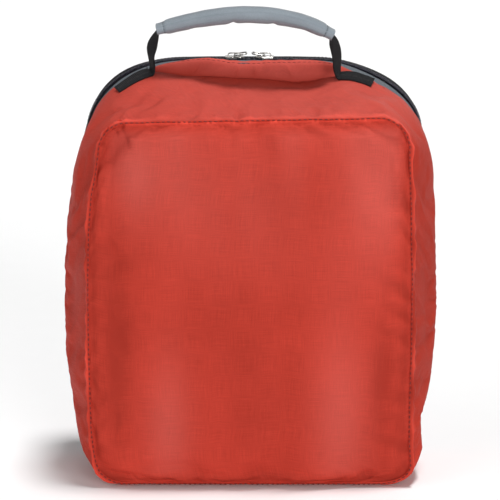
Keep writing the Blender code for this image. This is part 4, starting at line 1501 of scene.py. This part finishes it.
def shell_pieces():
    """Main panel, side gusset and base as separate pieces of cloth, and the stitches of their seams."""
    panel, gusset = relax_shell()
    fine, distance, gathers = fine_panel(panel)
    made = cloth("main_panel_cloth", fine, CORAL, "bag", "coral_taffeta", "main_panel")
    under_seam = smoothstep(0.80 * TOP, 0.87 * TOP, fine[..., 2])
    x, z = fine[..., 0], fine[..., 2]
    tone, gleam = painted_light_patches(x, z)
    # tone: the painted light patches, the painted shade of the gathers, a darker band 6 mm in from the side
    # and bottom seams, and a painted highlight on the strip beside the seam, strongest under the top seam.
    set_values(made, "tone", tone + gathers + 0.25 * bump(distance, 6 * MM, 5 * MM) * (1 - under_seam)
               - 0.6 * bump(distance, 2.6 * MM, 2.2 * MM) * (0.25 + 0.75 * under_seam))
    # Painted sheen: paler towards the top and right of the panel, in uneven clouds, with the pale patches,
    # faded out near the seams.
    cloud = 0.75 + 0.3 * wave_noise(np.stack([x, 0.5 * z], axis=-1), 45.0, seed=12)
    upper = smoothstep(0.40 * TOP, 0.80 * TOP, z) * (0.75 + 0.25 * x / WIDE)
    rim = smoothstep(4 * MM, 22 * MM, distance)
    set_values(made, "painted_sheen", np.clip((0.034 * upper * cloud + gleam) * rim, 0, 1))
    wall, distance = fine_gusset(gusset)
    side, base = split_gusset(wall)
    side = side[:, ::-1]
    # Painted highlight on the welt beside the main seam, uneven along its length.
    welt = -0.62 * bump(distance, 2.8 * MM, 1.9 * MM)
    made = cloth("side_gusset_cloth", side, CORAL, "bag", "coral_taffeta", "side_gusset")
    x, y, z = np.moveaxis(side, 2, 0)
    on_top = smoothstep(0.80 * TOP, 0.92 * TOP, z)
    between = on_top * (1 - smoothstep(40 * MM, 75 * MM, np.abs(x + 4 * MM)))
    # Painted shadow of the grip in the valley between the handle's roots.
    painted_shadow_under_grip = between * bump(y, 5 * MM, 7.5 * MM)
    # Painted highlight on the lip beside the zipper: lighter tone and more painted sheen.
    lip = between * bump(y, BACK_Y - 2 * MM, 3.5 * MM)
    # Painted shade that deepens the colour of the right side of the gusset.
    painted_shade_right = smoothstep(0.70 * WIDE, 0.92 * WIDE, x) * smoothstep(25 * MM, 90 * MM, z) * (1 - on_top)
    set_values(made, "tone", welt[:, :side.shape[1]] * (0.70 + 0.50 * wave_noise(side, 60.0, seed=9))
               + 1.0 * painted_shadow_under_grip - 0.3 * lip + 0.28 * painted_shade_right)
    # Painted sheen on the top, stronger to the right, none in the painted shadow of the grip, more on the
    # lip.
    set_values(made, "painted_sheen", (0.032 + 0.014 * x / WIDE) * on_top * (1 - np.clip(painted_shadow_under_grip, 0, 1)) + 0.03 * lip)
    cloth("base_gusset_cloth", base[:, ::-1], CORAL, "bag", "coral_taffeta", "base_gusset")
    seam_fold(wall)
    seam_stitches(wall)
    return wall, distance


def zip_topstitch(wall, distances):
    """Stitches through the folded edge of the gusset beside the zipper tape."""
    points, normals = wall_line(wall, distances, distances[-1, 0] - 3.4 * MM)
    first = 2 * CELLS[0] + 1
    points, normals = points[first:-first], normals[first:-first]
    parts = stitch_parts(points, normals, STITCH_PITCH, 2.6 * MM, 0.2 * MM, 0.02 * MM)
    solid("zipper_edge_stitches", parts, CORAL_THREAD_PAINTED_SHADE, "bag", "coral_taffeta")


def dress(node, material):
    """Give a node that is shown as it is a detailed material."""
    slots = frame["nodes"][node].data.materials
    slots.clear()
    slots.append(material)


camera()
WALL, DISTANCES = shell_pieces()
zip_topstitch(WALL, DISTANCES)
inner_binding(WALL, DISTANCES)
TREE = wall_tree(WALL)
for SIDE in SIDES:
    anchor_patch(TREE, SIDE)
    slider(SIDE)
    pull(SIDE)
    dress(f"zipper_end_tab_{SIDE}", BLACK_TAPE)
zipper()
lid_border()
lid_trim()
lid_binding()
lid_window()
hinge_cloth()
grip_cover()
tail_stitches(strap(TREE))
loose_thread()
dress("care_label", LABEL)
dress("handle_foam_core", FOAM)
studio()
